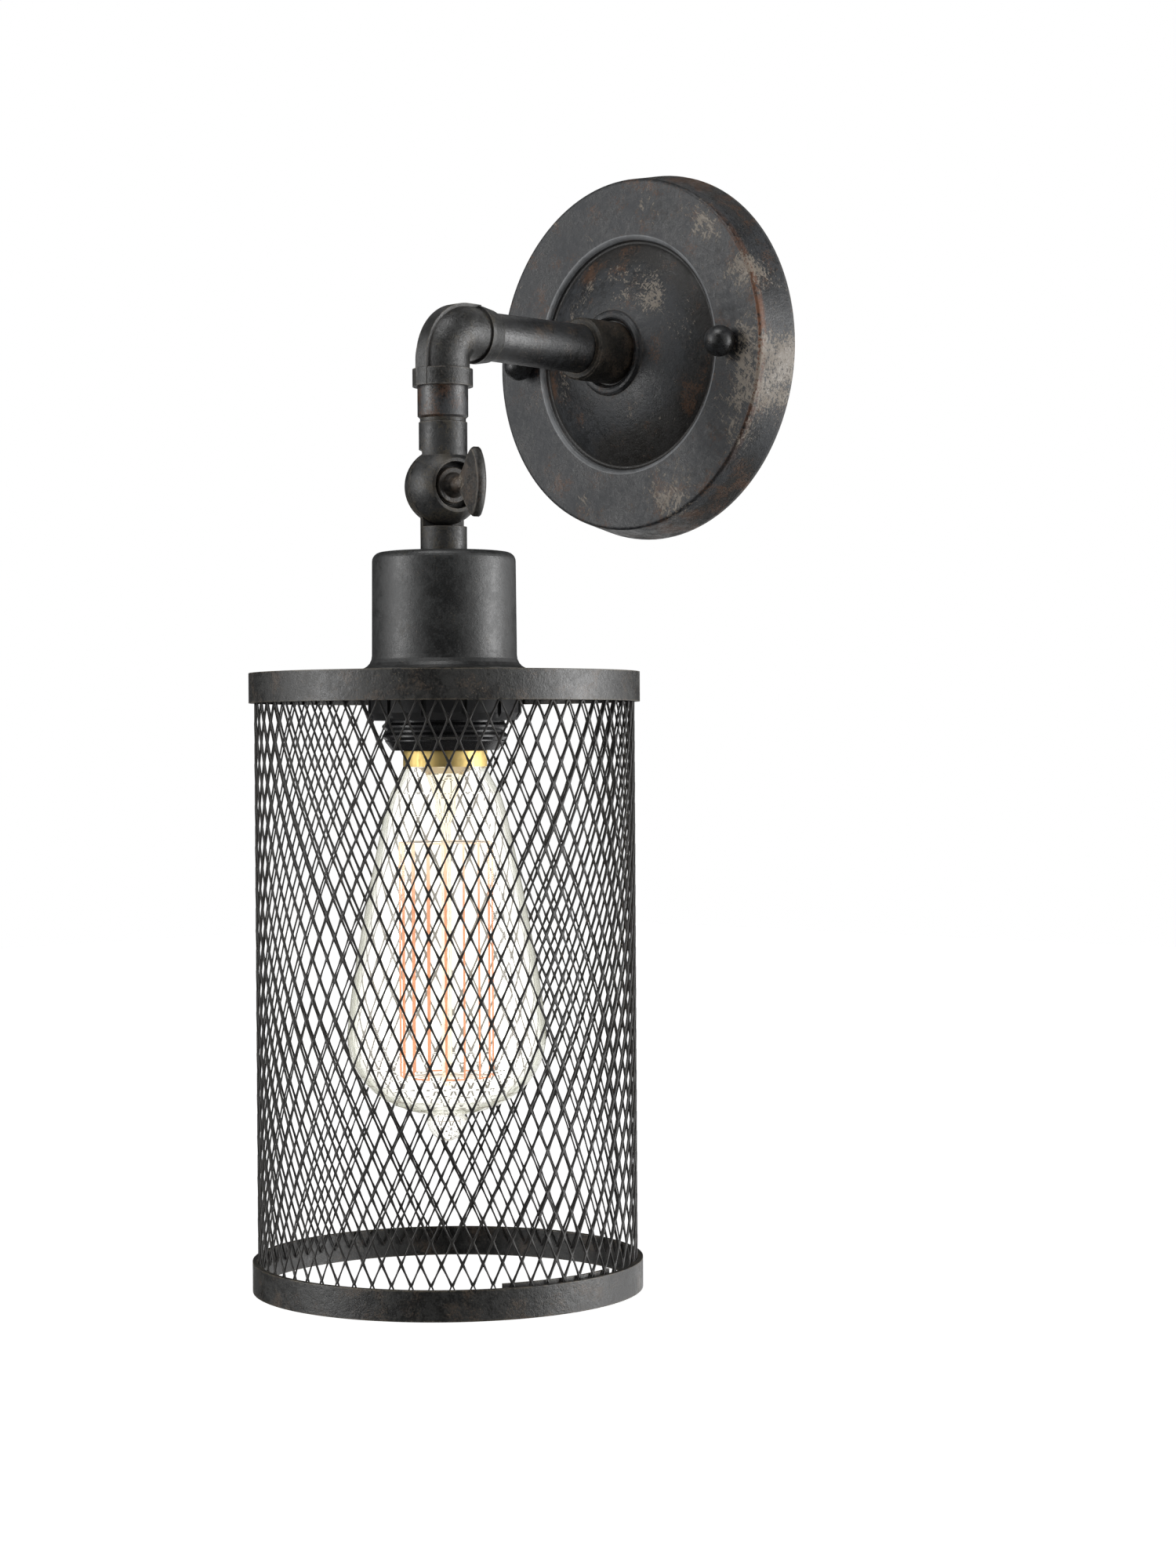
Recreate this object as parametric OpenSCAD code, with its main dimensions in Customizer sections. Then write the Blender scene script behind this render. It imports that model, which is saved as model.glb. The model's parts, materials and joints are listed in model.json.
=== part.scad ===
// Wall light with a pipe arm, a ball swivel and a mesh cage around a pear-shaped lamp.
// Millimetres. The origin is the centre of the canopy's back face, where it meets the wall.
// +Z is up and the light reaches out from the wall along -Y.

/* [Overall] */
// Distance from the wall to the front of the cage
projection = 158.75; // [150:0.25:185]
// Outer diameter of the canopy at the wall
canopy_d = 120; // [116:0.5:140]
// Outer diameter of the two cage bands
cage_d = 120.65; // [100:0.05:126]
// Height of the cage from the top band to the bottom band
cage_h = 190; // [160:1:260]

/* [Canopy] */
// Depth of the canopy's rim
canopy_rim_h = 14.3; // [12:0.1:18]
// Sheet thickness of the canopy
canopy_wall = 1.4; // [1:0.1:2]
// How much smaller the front edge's radius is than the back edge's
canopy_draft = 2.4; // [1:0.1:4]
// Radius of the rounded front edge
canopy_edge_r = 1.2; // [0.6:0.1:2]
// Diameter of the flat ring's inner edge
dish_d = 75.5; // [70:0.5:78]
// Depth of the valley between the flat ring and the dome
groove_depth = 2; // [1.8:0.1:5.5]
// Slope of the dome at its foot, in degrees
dome_slope = 34; // [28:1:46]
// Height of the hub seat in front of the flat ring
hub_rise = 7; // [5:0.1:8]
// Outer diameter of the bead around the hub
bead_d = 28; // [27:0.5:32]
// Height of the bead above the hub seat
bead_h = 1.6; // [1:0.1:2]
// Distance between the two cap nuts
nut_spacing = 88.9; // [88.5:0.1:92]
// Diameter of a cap nut
cap_nut_d = 10; // [8:0.1:10.4]
// Thread diameter of the mounting studs
stud_d = 4.1; // [3.4:0.1:5]

/* [Mounting strap] */
// Metal beyond each slot of the rear bar
slot_end = 4; // [3:0.5:6]
// Metal beyond the centre of each stud of the front bar
stud_end_l = 6.5; // [5:0.5:8]
// Width of each strap bar
strap_w = 18; // [17:0.5:22]
// Thickness of each strap bar
strap_t = 1.6; // [1.4:0.1:2]
// Distance between the centres of the two slots
slot_spacing = 79.4; // [76:0.1:82]
// Length of a slot
slot_l = 14.6; // [12:0.1:16]
// Width of a slot
slot_w = 5; // [4:0.1:6]
// Bore of the rivet that joins the bars
rivet_bore_d = 7; // [5:0.1:8]

/* [Hub and arm] */
// Thread diameter of the hub nipple and of the stem's end
hub_thread_d = 9.8; // [9:0.1:10.4]
// Bore for the wires in the nipples and the stem
wire_way_d = 6; // [4:0.1:6.4]
// Outer diameter of the coupling
coupling_d = 20.2; // [19:0.1:21]
// Distance from the wall to the coupling's front end
coupling_end = 37.3; // [36:0.1:44]
// Outer diameter of the arm pipe
arm_d = 15.7; // [14.6:0.1:16]
// Wall of the arm pipe and the drop pipe
pipe_wall = 2.2; // [1.6:0.1:2.6]
// Length of the arm pipe inside the coupling and inside the elbow
pipe_grip = 8; // [6:0.5:8.5]
// Radius of the elbow's bend at its centre line
bend_r = 9.2; // [8.8:0.1:12]
// Outer diameter of the elbow's bend
elbow_d = 16.8; // [16.4:0.1:17.4]
// Outer diameter of the elbow's horizontal mouth
mouth_d = 18.2; // [17.8:0.1:20]
// Length of the elbow's horizontal leg
mouth_l = 10; // [9:0.5:16]
// Outer diameter of the collar at the elbow's lower mouth
collar_d = 18.7; // [18:0.1:20]
// Height of that collar
collar_h = 5.4; // [3:0.1:6]
// Length of the elbow's vertical leg with its collar
leg_l = 8.2; // [7.8:0.1:14]
// Height of the rib on the elbow's back
rib_h = 0.8; // [0.4:0.1:1.2]
// Width of that rib
rib_w = 4.6; // [2:0.1:6]
// Outer diameter of the drop pipe
drop_d = 15.7; // [14.4:0.1:16]
// Length of the drop pipe below the elbow
drop_show = 9.7; // [8:0.1:30]

/* [Swivel] */
// Diameter of the ball
ball_d = 24; // [22:0.1:26]
// Distance from the drop pipe's end to the ball's centre
pivot_drop = 21.1; // [19:0.1:30]
// Distance from the ball's centre to the top of the cup
stem_show = 20.3; // [19:0.1:30]
// Diameter of the nipple above the ball
nipple_d = 15; // [14:0.1:15.6]
// Height of the undercut at the nipple's top
undercut_h = 1.3; // [0.8:0.1:2]
// Diameter of the stem below the ball
stem_d = 14.4; // [13.6:0.1:15]
// Turn of the swivel about the vertical, seen from above
swivel_turn = -16.5; // [-45:0.5:45]
// Diameter of the counterbore for the thumb screw
counterbore_d = 14.5; // [13.6:0.1:15]
// Distance from the ball's centre to the counterbore's floor
counterbore_floor = 5; // [4.6:0.1:6]
// Thread diameter of the thumb screw
screw_d = 5; // [4:0.1:5.4]
// Height of the thumb screw's grip
grip_h = 21.8; // [18:0.1:24]
// Thickness of the thumb screw's grip
grip_t = 3.2; // [2.5:0.1:4]
// Distance from the ball's centre to the grip's outer edge
grip_end = 25.5; // [24:0.1:30]

/* [Cup] */
// Diameter of the cup's body at its top
cup_d = 44.4; // [42:0.1:48]
// Height of the cup
cup_h = 37.1; // [35:0.1:40]
// Sheet thickness of the cup
cup_wall = 1.2; // [0.8:0.1:1.6]
// Radius of the cup's top edge
cup_edge_r = 2.8; // [2:0.1:4]
// Diameter of the flare at the cup's foot
flare_d = 52.4; // [49:0.1:54]
// Height of the flare
flare_h = 5.4; // [3:0.1:6]

/* [Cage] */
// Height of each band
band_h = 9.2; // [8:0.1:14]
// Thickness of each band
band_t = 1.5; // [1:0.1:2.5]
// Thickness of the disc that closes the cage on top
cap_t = 1; // [0.8:0.1:1.6]
// Thickness of the mesh
mesh_t = 0.8; // [0.6:0.1:1.2]
// Width of a mesh strand
strand_w = 1; // [0.8:0.1:1.6]
// Number of diamonds around the cage
mesh_columns = 62; // [50:2:70]
// Height of a diamond
diamond_h = 12.7; // [11:0.1:16]
// Solid edge at the top and bottom of the mesh
selvedge = 1.2; // [0.8:0.1:1.8]
// Where the splice strip inside the bottom band starts, counted from +X
splice_start = -28.5; // [-60:0.5:60]
// Sweep of the splice strip
splice_sweep = 41; // [20:0.5:60]
// How far the splice strip rises above the bottom band
splice_rise = 1; // [0.5:0.1:2]
// Thickness of the splice strip
splice_t = 0.7; // [0.5:0.1:1]

/* [Lamp holder] */
// Diameter of the holder's upper body
holder_d = 33; // [32:0.1:35]
// Diameter of the holder's outer thread
skirt_d = 38.8; // [37:0.1:40]
// Diameter of the holder's mouth
mouth_rim_d = 32.8; // [31.5:0.1:34]
// How far the holder reaches below the cage's top
holder_reach = 24; // [22:0.1:26]
// Pitch of the coarse outer thread
thread_pitch = 3; // [2.5:0.1:3.5]
// Depth of that thread
thread_depth = 0.9; // [0.5:0.1:1.1]
// Diameter of the shade ring over its grips
ring_d = 47.4; // [46:0.1:50]
// Height of the shade ring
ring_h = 13.7; // [8:0.1:14.5]
// Number of grips on the shade ring
ring_grips = 12; // [8:1:16]

/* [Lamp] */
// Largest diameter of the lamp's envelope
lamp_d = 61.6; // [50:0.1:66]
// Length of the envelope below the brass base
envelope_l = 115.9; // [105:0.1:125]
// Diameter of the brass base over its thread
base_d = 26.1; // [25.6:0.05:26.3]
// How far the brass base shows below the holder
base_show = 5; // [3:0.1:7]
// Length of the brass base
base_l = 21.6; // [20:0.1:22]
// Thickness of the glass
glass_t = 0.9; // [0.6:0.1:1.2]
// Radius of the filament's ring of strands
filament_r = 14.3; // [8:0.1:18]
// Length of the filament's strands
filament_l = 72; // [60:0.5:76]
// Number of filament strands
filament_strands = 16; // [8:2:24]

/* [Hidden] */

$fn = 96;
bronze = "#2b2926";
worn_bronze = "#4a3a2f";
black = "#1c1c1d";
zinc = "#b9bcc0";
brass = "#c9a24a";
glass = "#dfe4dc";
glow = "#ff9a3c";

// Clearances
fit = 0.05;         // radial gap of a piece that sits in a bore, and of a turning shaft
gap = 0.3;          // gap between pieces that only lie beside each other
eps = 0.01;         // overlap of cutters

// Canopy
canopy_r = canopy_d / 2;
front_r = canopy_r - canopy_draft;
dish_r = dish_d / 2;
lip_r = 1.6;        // rounding of the flat ring's inner edge
valley_r = 0.8;     // rounding of the valley's bottom
valley_in = 1;      // how far the valley's bottom lies inside the ring's inner edge
groove_r = dish_r - valley_in;
groove_out = canopy_rim_h - groove_depth;
bead_r = bead_d / 2;
bead_half = 1.7;    // half the width of the bead
hub_seat_r = bead_r - 2 * bead_half;
lip_turn = 75;      // how far the lip turns down into the valley, in degrees
valley_turn = 70;   // how far the valley turns on from there, in degrees
bead_turn = 55;     // how far the bead turns to each side of its top, in degrees
hub_seat = canopy_rim_h + hub_rise;
dome_steps = 14;
dome_foot_r = groove_r - valley_r * sin(dome_slope);
dome_foot_out = groove_out + valley_r * (1 - cos(dome_slope));
dome_top_out = hub_seat + 0.15 * bead_h;
dome_bend_out = dome_foot_out + tan(dome_slope) * (dome_foot_r - bead_r) / 2;

// Strap and its fasteners
strap_front_out = strap_t;
strap_face = 2 * strap_t;
slot_r = slot_w / 2;
rivet_r = rivet_bore_d / 2 + 0.9;
rivet_flange_r = rivet_r + 1.8;
rivet_flange_t = 0.8;
stud_r = stud_d / 2;
stud_head_r = 2 * stud_r;
stud_head_t = strap_t - gap;
stud_end = canopy_rim_h + 0.55 * cap_nut_d;
stud_nut_af = 3.6 * stud_r;
stud_nut_h = 2.4;
ground_x = nut_spacing / 3.5;
ground_r = 1.9;

// Hub, arm and elbow
hub_thread_r = hub_thread_d / 2;
wire_way_r = wire_way_d / 2;
hub_nut_h = 3;
hub_nut_af = 14;
hub_washer_t = 1;
hub_washer_r = 9;
hub_inner = hub_seat - canopy_wall;
nipple_start = hub_inner - hub_washer_t - hub_nut_h - 1.5;
coupling_r = coupling_d / 2;
coupling_bevel = 0.7;
arm_r = arm_d / 2;
arm_bore_r = arm_r - pipe_wall;
arm_start = coupling_end - pipe_grip;
nipple_end = arm_start - gap;
axis_out = projection - cage_d / 2;
elbow_start = axis_out - bend_r - mouth_l;
arm_end = elbow_start + pipe_grip;
arm_tip_r = arm_r - 0.3;   // the pipe narrows a little towards the elbow
elbow_r = elbow_d / 2;
elbow_bore_r = arm_bore_r;
mouth_r = mouth_d / 2;
mouth_end_r = arm_tip_r + 0.8;
mouth_cone_l = 4.4;
mouth_band_l = 1.4;
rib_root = 1.6;     // how deep the rib's section reaches into the bend
collar_r = collar_d / 2;
collar_end = -(bend_r + leg_l);
drop_r = drop_d / 2;
drop_bore_r = drop_r - pipe_wall;
leg_stop = 1.8;     // how far the drop pipe stays below the bend
drop_grip = leg_l - leg_stop;
drop_top = collar_end + drop_grip;
drop_end = collar_end - drop_show;

// Swivel: the two halves of the ball turn on the thumb screw
pivot_z = drop_end - pivot_drop;
ball_r = ball_d / 2;
nipple_r = nipple_d / 2;
undercut_r = nipple_r - 0.4;
nipple_grip = 6;
nipple_grip_r = drop_bore_r - fit;
stem_r = stem_d / 2;
split = 0.3;        // gap between the two halves
half_split = split / 2;
relief = 0.45;      // gap between one half and the other half's pipe
relief_chamfer = 1.3;
channel_r = 6.6;    // ring-shaped way for the wires around the screw
channel_core_r = 3.7;
channel_near = 3;
channel_far = 5;
counterbore_r = counterbore_d / 2;
rim_flat_r = counterbore_r + 1.05;
rim_flat = sqrt(pow(ball_r, 2) - pow(rim_flat_r, 2));
washer_r = 5.8;
washer_t = 0.8;
washer_out = counterbore_floor + washer_t;
screw_r = screw_d / 2;
screw_tip = 3 - ball_r;
screw_flange_r = 5.6;
screw_flange_t = 1.2;
screw_collar_r = 4;
screw_collar_end = washer_out + 3.6;
screw_neck_r = 2.6;
grip_start = 12.5;
grip_half = grip_h / 2;
grip_tip = grip_end - 4;
grip_bulge = grip_end - grip_tip;
grip_arc_r = (pow(grip_half, 2) + pow(grip_bulge, 2)) / (2 * grip_bulge);

// Cup, stem end and lamp holder
cup_top = pivot_z - stem_show;
cage_top = cup_top - cup_h;
cup_r = cup_d / 2;
cup_widening = 0.2; // how much wider the body is at its foot than at its top
flare_steps = 5;
flare_r = flare_d / 2;
stem_nut_h = 4;
stem_nut_af = 14;
stem_washer_t = 1.2;
stem_washer_r = 9.5;
stem_washer_z = cup_top - cup_wall;
stem_nut_z = stem_washer_z - stem_washer_t;
bracket_bush_r = 6.8;
bracket_bush_h = 6;
bracket_r = 12.5;
bracket_t = 1.2;
bracket_screw_x = 9.5;
bracket_screw_r = 1.5;
bracket_screw_l = 4;
bracket_head_r = 2.4;
bracket_head_h = 1.4;
bracket_z = stem_nut_z - stem_nut_h - gap;
holder_top = bracket_z - bracket_bush_h - bracket_t;
stem_end = bracket_z - bracket_bush_h;
holder_end = cage_top - holder_reach;
holder_r = holder_d / 2;
skirt_r = skirt_d / 2;
skirt_top = cage_top + 3;
skirt_core_r = skirt_r - thread_depth;
mouth_rim_r = mouth_rim_d / 2;
taper_h = 3.2;
thread_count = floor((skirt_top - holder_end - taper_h) / thread_pitch);

// Cage
cage_r = cage_d / 2;
cage_bottom = cage_top - cage_h;
band_inner_r = cage_r - band_t;
cap_hole_r = skirt_r + gap;
panels = mesh_columns / 2;
panels_front = ceil(panels / 2);
front_reach = floor(panels_front / 2);
panel_turn = 360 / panels;
mesh_corner_r = band_inner_r - fit;
mesh_outer = mesh_corner_r * cos(panel_turn / 2);
mesh_inner = mesh_outer - mesh_t;
panel_w = 2 * mesh_inner * tan(panel_turn / 2) - 2 * fit;
mesh_top = cage_top - cap_t;
mesh_bottom = cage_bottom + 2.5;
mesh_h = mesh_top - mesh_bottom;
mesh_rows = round(2 * (mesh_h - 2 * selvedge) / diamond_h);
row_h = (mesh_h - 2 * selvedge) / mesh_rows;
column_w = panel_w / 4;
hole_scale = 1 - strand_w / 2 * norm([column_w, row_h]) / (column_w * row_h);
splice_outer_r = mesh_inner - fit;

// Shade ring
ring_r = ring_d / 2;
ring_top = cage_top - cap_t;
ring_bore_r = skirt_r + fit;
ring_groove_w = 1.6;
ring_groove_depth = 1;
ring_bottom_r = ring_r - 1.4;

// Electrical parts of the holder
base_r = base_d / 2;
shell_clearance = 0.3;
shell_r = base_r + shell_clearance;
shell_t = 0.5;
shell_bottom = holder_end + 1.5;
base_rim = holder_end - base_show;
base_top = base_rim + base_l;
insulator_h = 3;
contact_h = 1.4;
contact_r = 4.4;
contact_top = base_top + insulator_h + contact_h;
chamber_top = contact_top + 2.6;
shell_top = base_top + 4;
tongue_t = 0.6;

// Lamp
base_wall = 0.5;
base_thread_depth = 0.7;
base_pitch = 3.63;
base_threads = 4;
base_rim_h = 5.4;
base_rim_r = base_r - 0.05;
lamp_r = lamp_d / 2;
neck_r = base_rim_r - base_wall - fit;
neck_inside = 4;
shoulder_r = 19;
shoulder_drop = 15;
belly_drop = 0.71 * envelope_l;
belly_h = 25.5;
belly_power = 2.15;
tip_r = 6.4;
tip_l = envelope_l - belly_drop - belly_h;
belly_steps = 12;
tip_steps = 6;
flank_steps = 6;
filament_drop = 23.5; // from the brass base to the filament's top
filament_top = base_rim - filament_drop;
filament_bottom = filament_top - filament_l;
strand_r = 0.3;
wire_r = 0.35;
rod_r = 1.6;
pinch_r = 3.2;
stem_foot_r = neck_r - glass_t - fit;
stem_foot_z = base_rim + neck_inside - 1;
flare_tube_l = 13;
rod_over = 6;       // how far the glass rod runs past the upper supports
rod_under = 3;
pinch_l = 3;        // length of the cone between the rod and the pinch

// ---- Curves and shells ----

function arc(centre, r, from, to, steps) =
  [for (i = [0:steps]) let (a = from + (to - from) * i / steps) centre + r * [cos(a), sin(a)]];
function unit(v) = v / norm(v);
function left_of(a, b) = let (d = unit(b - a)) [-d[1], d[0]];
// A point of an open path moved to the left by t, mitred between its two neighbours
function moved(path, i, t) = let (
  last = len(path) - 1,
  before = left_of(path[max(i - 1, 0)], path[max(i, 1)]),
  after = left_of(path[min(i, last - 1)], path[min(i + 1, last)]),
  middle = unit(before + after),
  q = path[i] + middle * t / (middle * after)) [max(q[0], 0), q[1]];
// The closed outline of a sheet of thickness t whose one face is the path
function sheet(path, t) =
  concat(path, [for (i = [len(path) - 1:-1:0]) moved(path, i, t)]);

// Turns a piece that stands along +Z so that it points out of the wall
module outward() { rotate([90, 0, 0]) children(); }

// Places a piece at the ball's centre, with +X along the thumb screw
module at_pivot() { translate([0, -axis_out, pivot_z]) rotate([0, 0, swivel_turn]) children(); }

module on_axis(z) { translate([0, -axis_out, z]) children(); }

module tube(r, bore_r, h) {
  difference() {
    cylinder(h = h, r = r);
    translate([0, 0, -eps]) cylinder(h = h + 2 * eps, r = bore_r);
  }
}

module hex_nut(across_flats, bore_r, h) {
  difference() {
    cylinder(h = h, r = across_flats / sqrt(3), $fn = 6);
    translate([0, 0, -eps]) cylinder(h = h + 2 * eps, r = bore_r);
  }
}

module at_nuts() {
  for (side = [-1, 1]) translate([side * nut_spacing / 2, 0, 0]) children();
}

// ---- Mounting strap ----

module strap_bar(l) { translate([-strap_w / 2, -l / 2, 0]) cube([strap_w, l, strap_t]); }

module slot() {
  for (end = [-1, 1]) translate([0, end * (slot_l / 2 - slot_r), -eps])
    cylinder(h = strap_t + 2 * eps, r = slot_r);
  translate([-slot_r, slot_r - slot_l / 2, -eps]) cube([slot_w, slot_l - slot_w, strap_t + 2 * eps]);
}

module strap_rear() {
  color(zinc) outward() difference() {
    strap_bar(slot_spacing + slot_l + 2 * slot_end);
    for (side = [-1, 1]) translate([0, side * slot_spacing / 2, 0]) slot();
    translate([0, 0, -eps]) cylinder(h = strap_t + 2 * eps, r = rivet_r + fit);
    translate([0, 0, -eps]) cylinder(h = strap_t / 2, r1 = rivet_r + fit + strap_t / 2, r2 = rivet_r + fit);
  }
}

module strap_front() {
  color(zinc) outward() translate([0, 0, strap_front_out]) difference() {
    rotate([0, 0, 90]) strap_bar(nut_spacing + 2 * stud_end_l);
    at_nuts() translate([0, 0, -eps]) cylinder(h = strap_t + 2 * eps, r = stud_r + fit);
    translate([ground_x, 0, -eps]) cylinder(h = strap_t + 2 * eps, r = ground_r + fit);
    translate([0, 0, -eps]) cylinder(h = strap_t + 2 * eps, r = rivet_r + fit);
  }
}

module strap_rivet() {
  bore_r = rivet_bore_d / 2;
  lip = strap_t / 2 - fit;
  color(brass) outward() rotate_extrude() polygon([
    [bore_r, fit], [rivet_r + lip, fit], [rivet_r, fit + lip], [rivet_r, strap_face],
    [rivet_flange_r, strap_face], [rivet_flange_r, strap_face + rivet_flange_t],
    [bore_r, strap_face + rivet_flange_t]]);
}

module mounting_studs() {
  color(zinc) outward() at_nuts() {
    translate([0, 0, strap_front_out - stud_head_t]) cylinder(h = stud_head_t, r = stud_head_r);
    translate([0, 0, strap_front_out - eps]) cylinder(h = stud_end - strap_front_out + eps, r = stud_r);
  }
}

module stud_nuts() {
  color(zinc) outward() at_nuts() translate([0, 0, strap_face])
    hex_nut(stud_nut_af, stud_r + fit, stud_nut_h);
}

module ground_screw() {
  head_r = 3.6;
  head_h = 2.2;
  slot_depth = 0.8;
  color("#3f7d45") outward() translate([ground_x, 0, 0]) difference() {
    union() {
      translate([0, 0, gap]) cylinder(h = strap_face - gap + eps, r = ground_r);
      translate([0, 0, strap_face]) cylinder(h = head_h, r = head_r);
    }
    translate([-head_r, -0.5, strap_face + head_h - slot_depth]) cube([2 * head_r, 1, slot_depth + eps]);
  }
}

// ---- Canopy ----

// A point of the dome, from its foot (t = 0) to the bead (t = 1)
function dome_point(t) = [
  dome_foot_r + (bead_r - dome_foot_r) * t,
  (1 - t) * (1 - t) * dome_foot_out + 2 * t * (1 - t) * dome_bend_out + t * t * dome_top_out];

function canopy_path() = concat(
  [[canopy_r, 0], [canopy_r, 1.2]],
  arc([front_r - canopy_edge_r, canopy_rim_h - canopy_edge_r], canopy_edge_r, 8, 90, 4),
  arc([dish_r + lip_r, canopy_rim_h - lip_r], lip_r, 90, 90 + lip_turn, 4),
  arc([groove_r, groove_out + valley_r], valley_r, valley_turn - 90, -90 - dome_slope, 6),
  [for (i = [1:dome_steps]) dome_point(i / dome_steps)],
  arc([bead_r - bead_half, hub_seat], bead_half, 90 - bead_turn, 90 + bead_turn, 4),
  [[hub_seat_r, hub_seat], [hub_thread_r + fit, hub_seat]]);

module backplate() {
  color(bronze) outward() difference() {
    rotate_extrude() polygon(sheet(canopy_path(), canopy_wall));
    at_nuts() cylinder(h = canopy_rim_h + 5, r = stud_r + 2 * fit);
  }
}

module cap_nuts() {
  bore_depth = stud_end - canopy_rim_h + gap;
  sink = 0.4;
  color(bronze) outward() at_nuts() difference() {
    translate([0, 0, canopy_rim_h + cap_nut_d / 2 - sink]) sphere(d = cap_nut_d);
    translate([0, 0, canopy_rim_h - cap_nut_d]) cylinder(h = cap_nut_d, r = cap_nut_d);
    translate([0, 0, canopy_rim_h - eps]) cylinder(h = bore_depth + eps, r = stud_r + fit);
  }
}

// ---- Hub and arm ----

module hub_nipple() {
  color(zinc) outward() translate([0, 0, nipple_start])
    tube(hub_thread_r, wire_way_r, nipple_end - nipple_start);
}

module hub_washer() {
  color(zinc) outward() translate([0, 0, hub_inner - hub_washer_t])
    tube(hub_washer_r, hub_thread_r + fit, hub_washer_t);
}

module hub_nut() {
  color(zinc) outward() translate([0, 0, hub_inner - hub_washer_t - hub_nut_h])
    hex_nut(hub_nut_af, hub_thread_r + fit, hub_nut_h);
}

module hub_coupling() {
  color(worn_bronze) outward() rotate_extrude() polygon([
    [hub_thread_r + fit, hub_seat], [coupling_r, hub_seat], [coupling_r, coupling_end - coupling_bevel],
    [coupling_r - coupling_bevel, coupling_end], [arm_r + fit, coupling_end], [arm_r + fit, arm_start],
    [hub_thread_r + fit, arm_start]]);
}

module arm_pipe() {
  color(bronze) outward() rotate_extrude() polygon([
    [arm_bore_r, arm_start], [arm_r, arm_start], [arm_r, coupling_end], [arm_tip_r, elbow_start],
    [arm_tip_r, arm_end], [arm_bore_r, arm_end]]);
}

// Sweeps a profile around the bend, from the drop pipe's side to the arm's side
module around_bend() {
  translate([0, -(axis_out - bend_r), -bend_r]) rotate([90, 0, -90])
    rotate_extrude(angle = 90) children();
}

module elbow_body() {
  rib_depth = rib_root + rib_h;
  around_bend() translate([bend_r, 0]) circle(r = elbow_r);
  // rib along the outside of the bend and both legs
  around_bend() translate([bend_r + elbow_r - rib_root, -rib_w / 2]) square([rib_depth, rib_w]);
  outward() {
    translate([0, 0, elbow_start]) cylinder(h = mouth_cone_l, r1 = mouth_end_r, r2 = mouth_r);
    translate([0, 0, elbow_start + mouth_cone_l]) cylinder(h = mouth_band_l, r = mouth_r);
    translate([0, 0, elbow_start + mouth_cone_l]) cylinder(h = mouth_l - mouth_cone_l, r = elbow_r);
    translate([-rib_w / 2, elbow_r - rib_root, elbow_start + mouth_cone_l])
      cube([rib_w, rib_depth, mouth_l - mouth_cone_l]);
  }
  on_axis(collar_end) {
    cylinder(h = leg_l, r = elbow_r);
    cylinder(h = collar_h, r = collar_r);
    translate([-rib_w / 2, -elbow_r - rib_h, 0]) cube([rib_w, rib_depth, leg_l]);
  }
}

module elbow() {
  color(bronze) difference() {
    elbow_body();
    around_bend() translate([bend_r, 0]) circle(r = elbow_bore_r);
    outward() {
      translate([0, 0, elbow_start - eps]) cylinder(h = arm_end - elbow_start + eps, r = arm_tip_r + fit);
      translate([0, 0, elbow_start]) cylinder(h = mouth_l, r = elbow_bore_r);
    }
    on_axis(collar_end - eps) {
      cylinder(h = drop_grip + eps, r = drop_r + fit);
      cylinder(h = leg_l + eps, r = elbow_bore_r);
    }
  }
}

module drop_pipe() {
  rim = 0.6;
  color(worn_bronze) on_axis(0) rotate_extrude() polygon([
    [drop_bore_r, drop_top], [drop_r, drop_top], [drop_r, drop_end + rim], [drop_r - rim, drop_end],
    [drop_bore_r, drop_end]]);
}

// ---- Swivel ----

// Keeps the part of a piece on the near side (1) or the far side (-1) of a plane across the screw
module side_of(side, plane) {
  reach = 2 * ball_r;
  intersection() {
    children();
    translate([side > 0 ? plane : plane - reach, -reach, -reach]) cube([reach, 2 * reach, 2 * reach]);
  }
}

module along_screw() { rotate([0, 90, 0]) children(); }

// Half of the ball as it is turned about the screw, from the split to its outer end
module half_ball(outer_end, channel) {
  rotate_extrude() difference() {
    intersection() {
      circle(r = ball_r);
      translate([0, half_split]) square([ball_r, outer_end - half_split]);
    }
    translate([-eps, -eps]) square([screw_r + fit + eps, 2 * ball_r]);
    translate([channel_core_r, -eps]) square([channel_r - channel_core_r, half_split + channel + eps]);
    children();
  }
}

module swivel_upper() {
  channel_mid = (channel_r + channel_core_r) / 2;
  over_ball = ball_r + relief + 0.2;
  bevel_r = nipple_r - relief_chamfer;
  neck_root = counterbore_r + 0.9;
  color(bronze) at_pivot() {
    difference() {
      along_screw() half_ball(rim_flat, channel_near)
        translate([-eps, counterbore_floor]) square([counterbore_r + eps, ball_r]);
      translate([0, 0, channel_mid]) cylinder(h = ball_r, r = wire_way_r);
    }
    // near side of the neck, down into the ball
    side_of(1, half_split) difference() {
      translate([0, 0, neck_root]) cylinder(h = over_ball - neck_root, r = nipple_r);
      cylinder(h = 2 * ball_r, r = wire_way_r);
    }
    // far side of the neck, hollowed and bevelled over the other half of the ball
    side_of(-1, half_split) rotate_extrude() polygon([
      [wire_way_r, over_ball], [wire_way_r, ball_r + relief],
      [bevel_r, sqrt(pow(ball_r + relief, 2) - pow(bevel_r, 2))],
      [nipple_r, ball_r - 0.6], [nipple_r, over_ball]]);
    rotate_extrude() polygon([
      [wire_way_r, over_ball], [nipple_r, over_ball], [nipple_r, pivot_drop - undercut_h],
      [undercut_r, pivot_drop - undercut_h], [undercut_r, pivot_drop], [nipple_grip_r, pivot_drop],
      [nipple_grip_r, pivot_drop + nipple_grip], [wire_way_r, pivot_drop + nipple_grip]]);
  }
}

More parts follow.
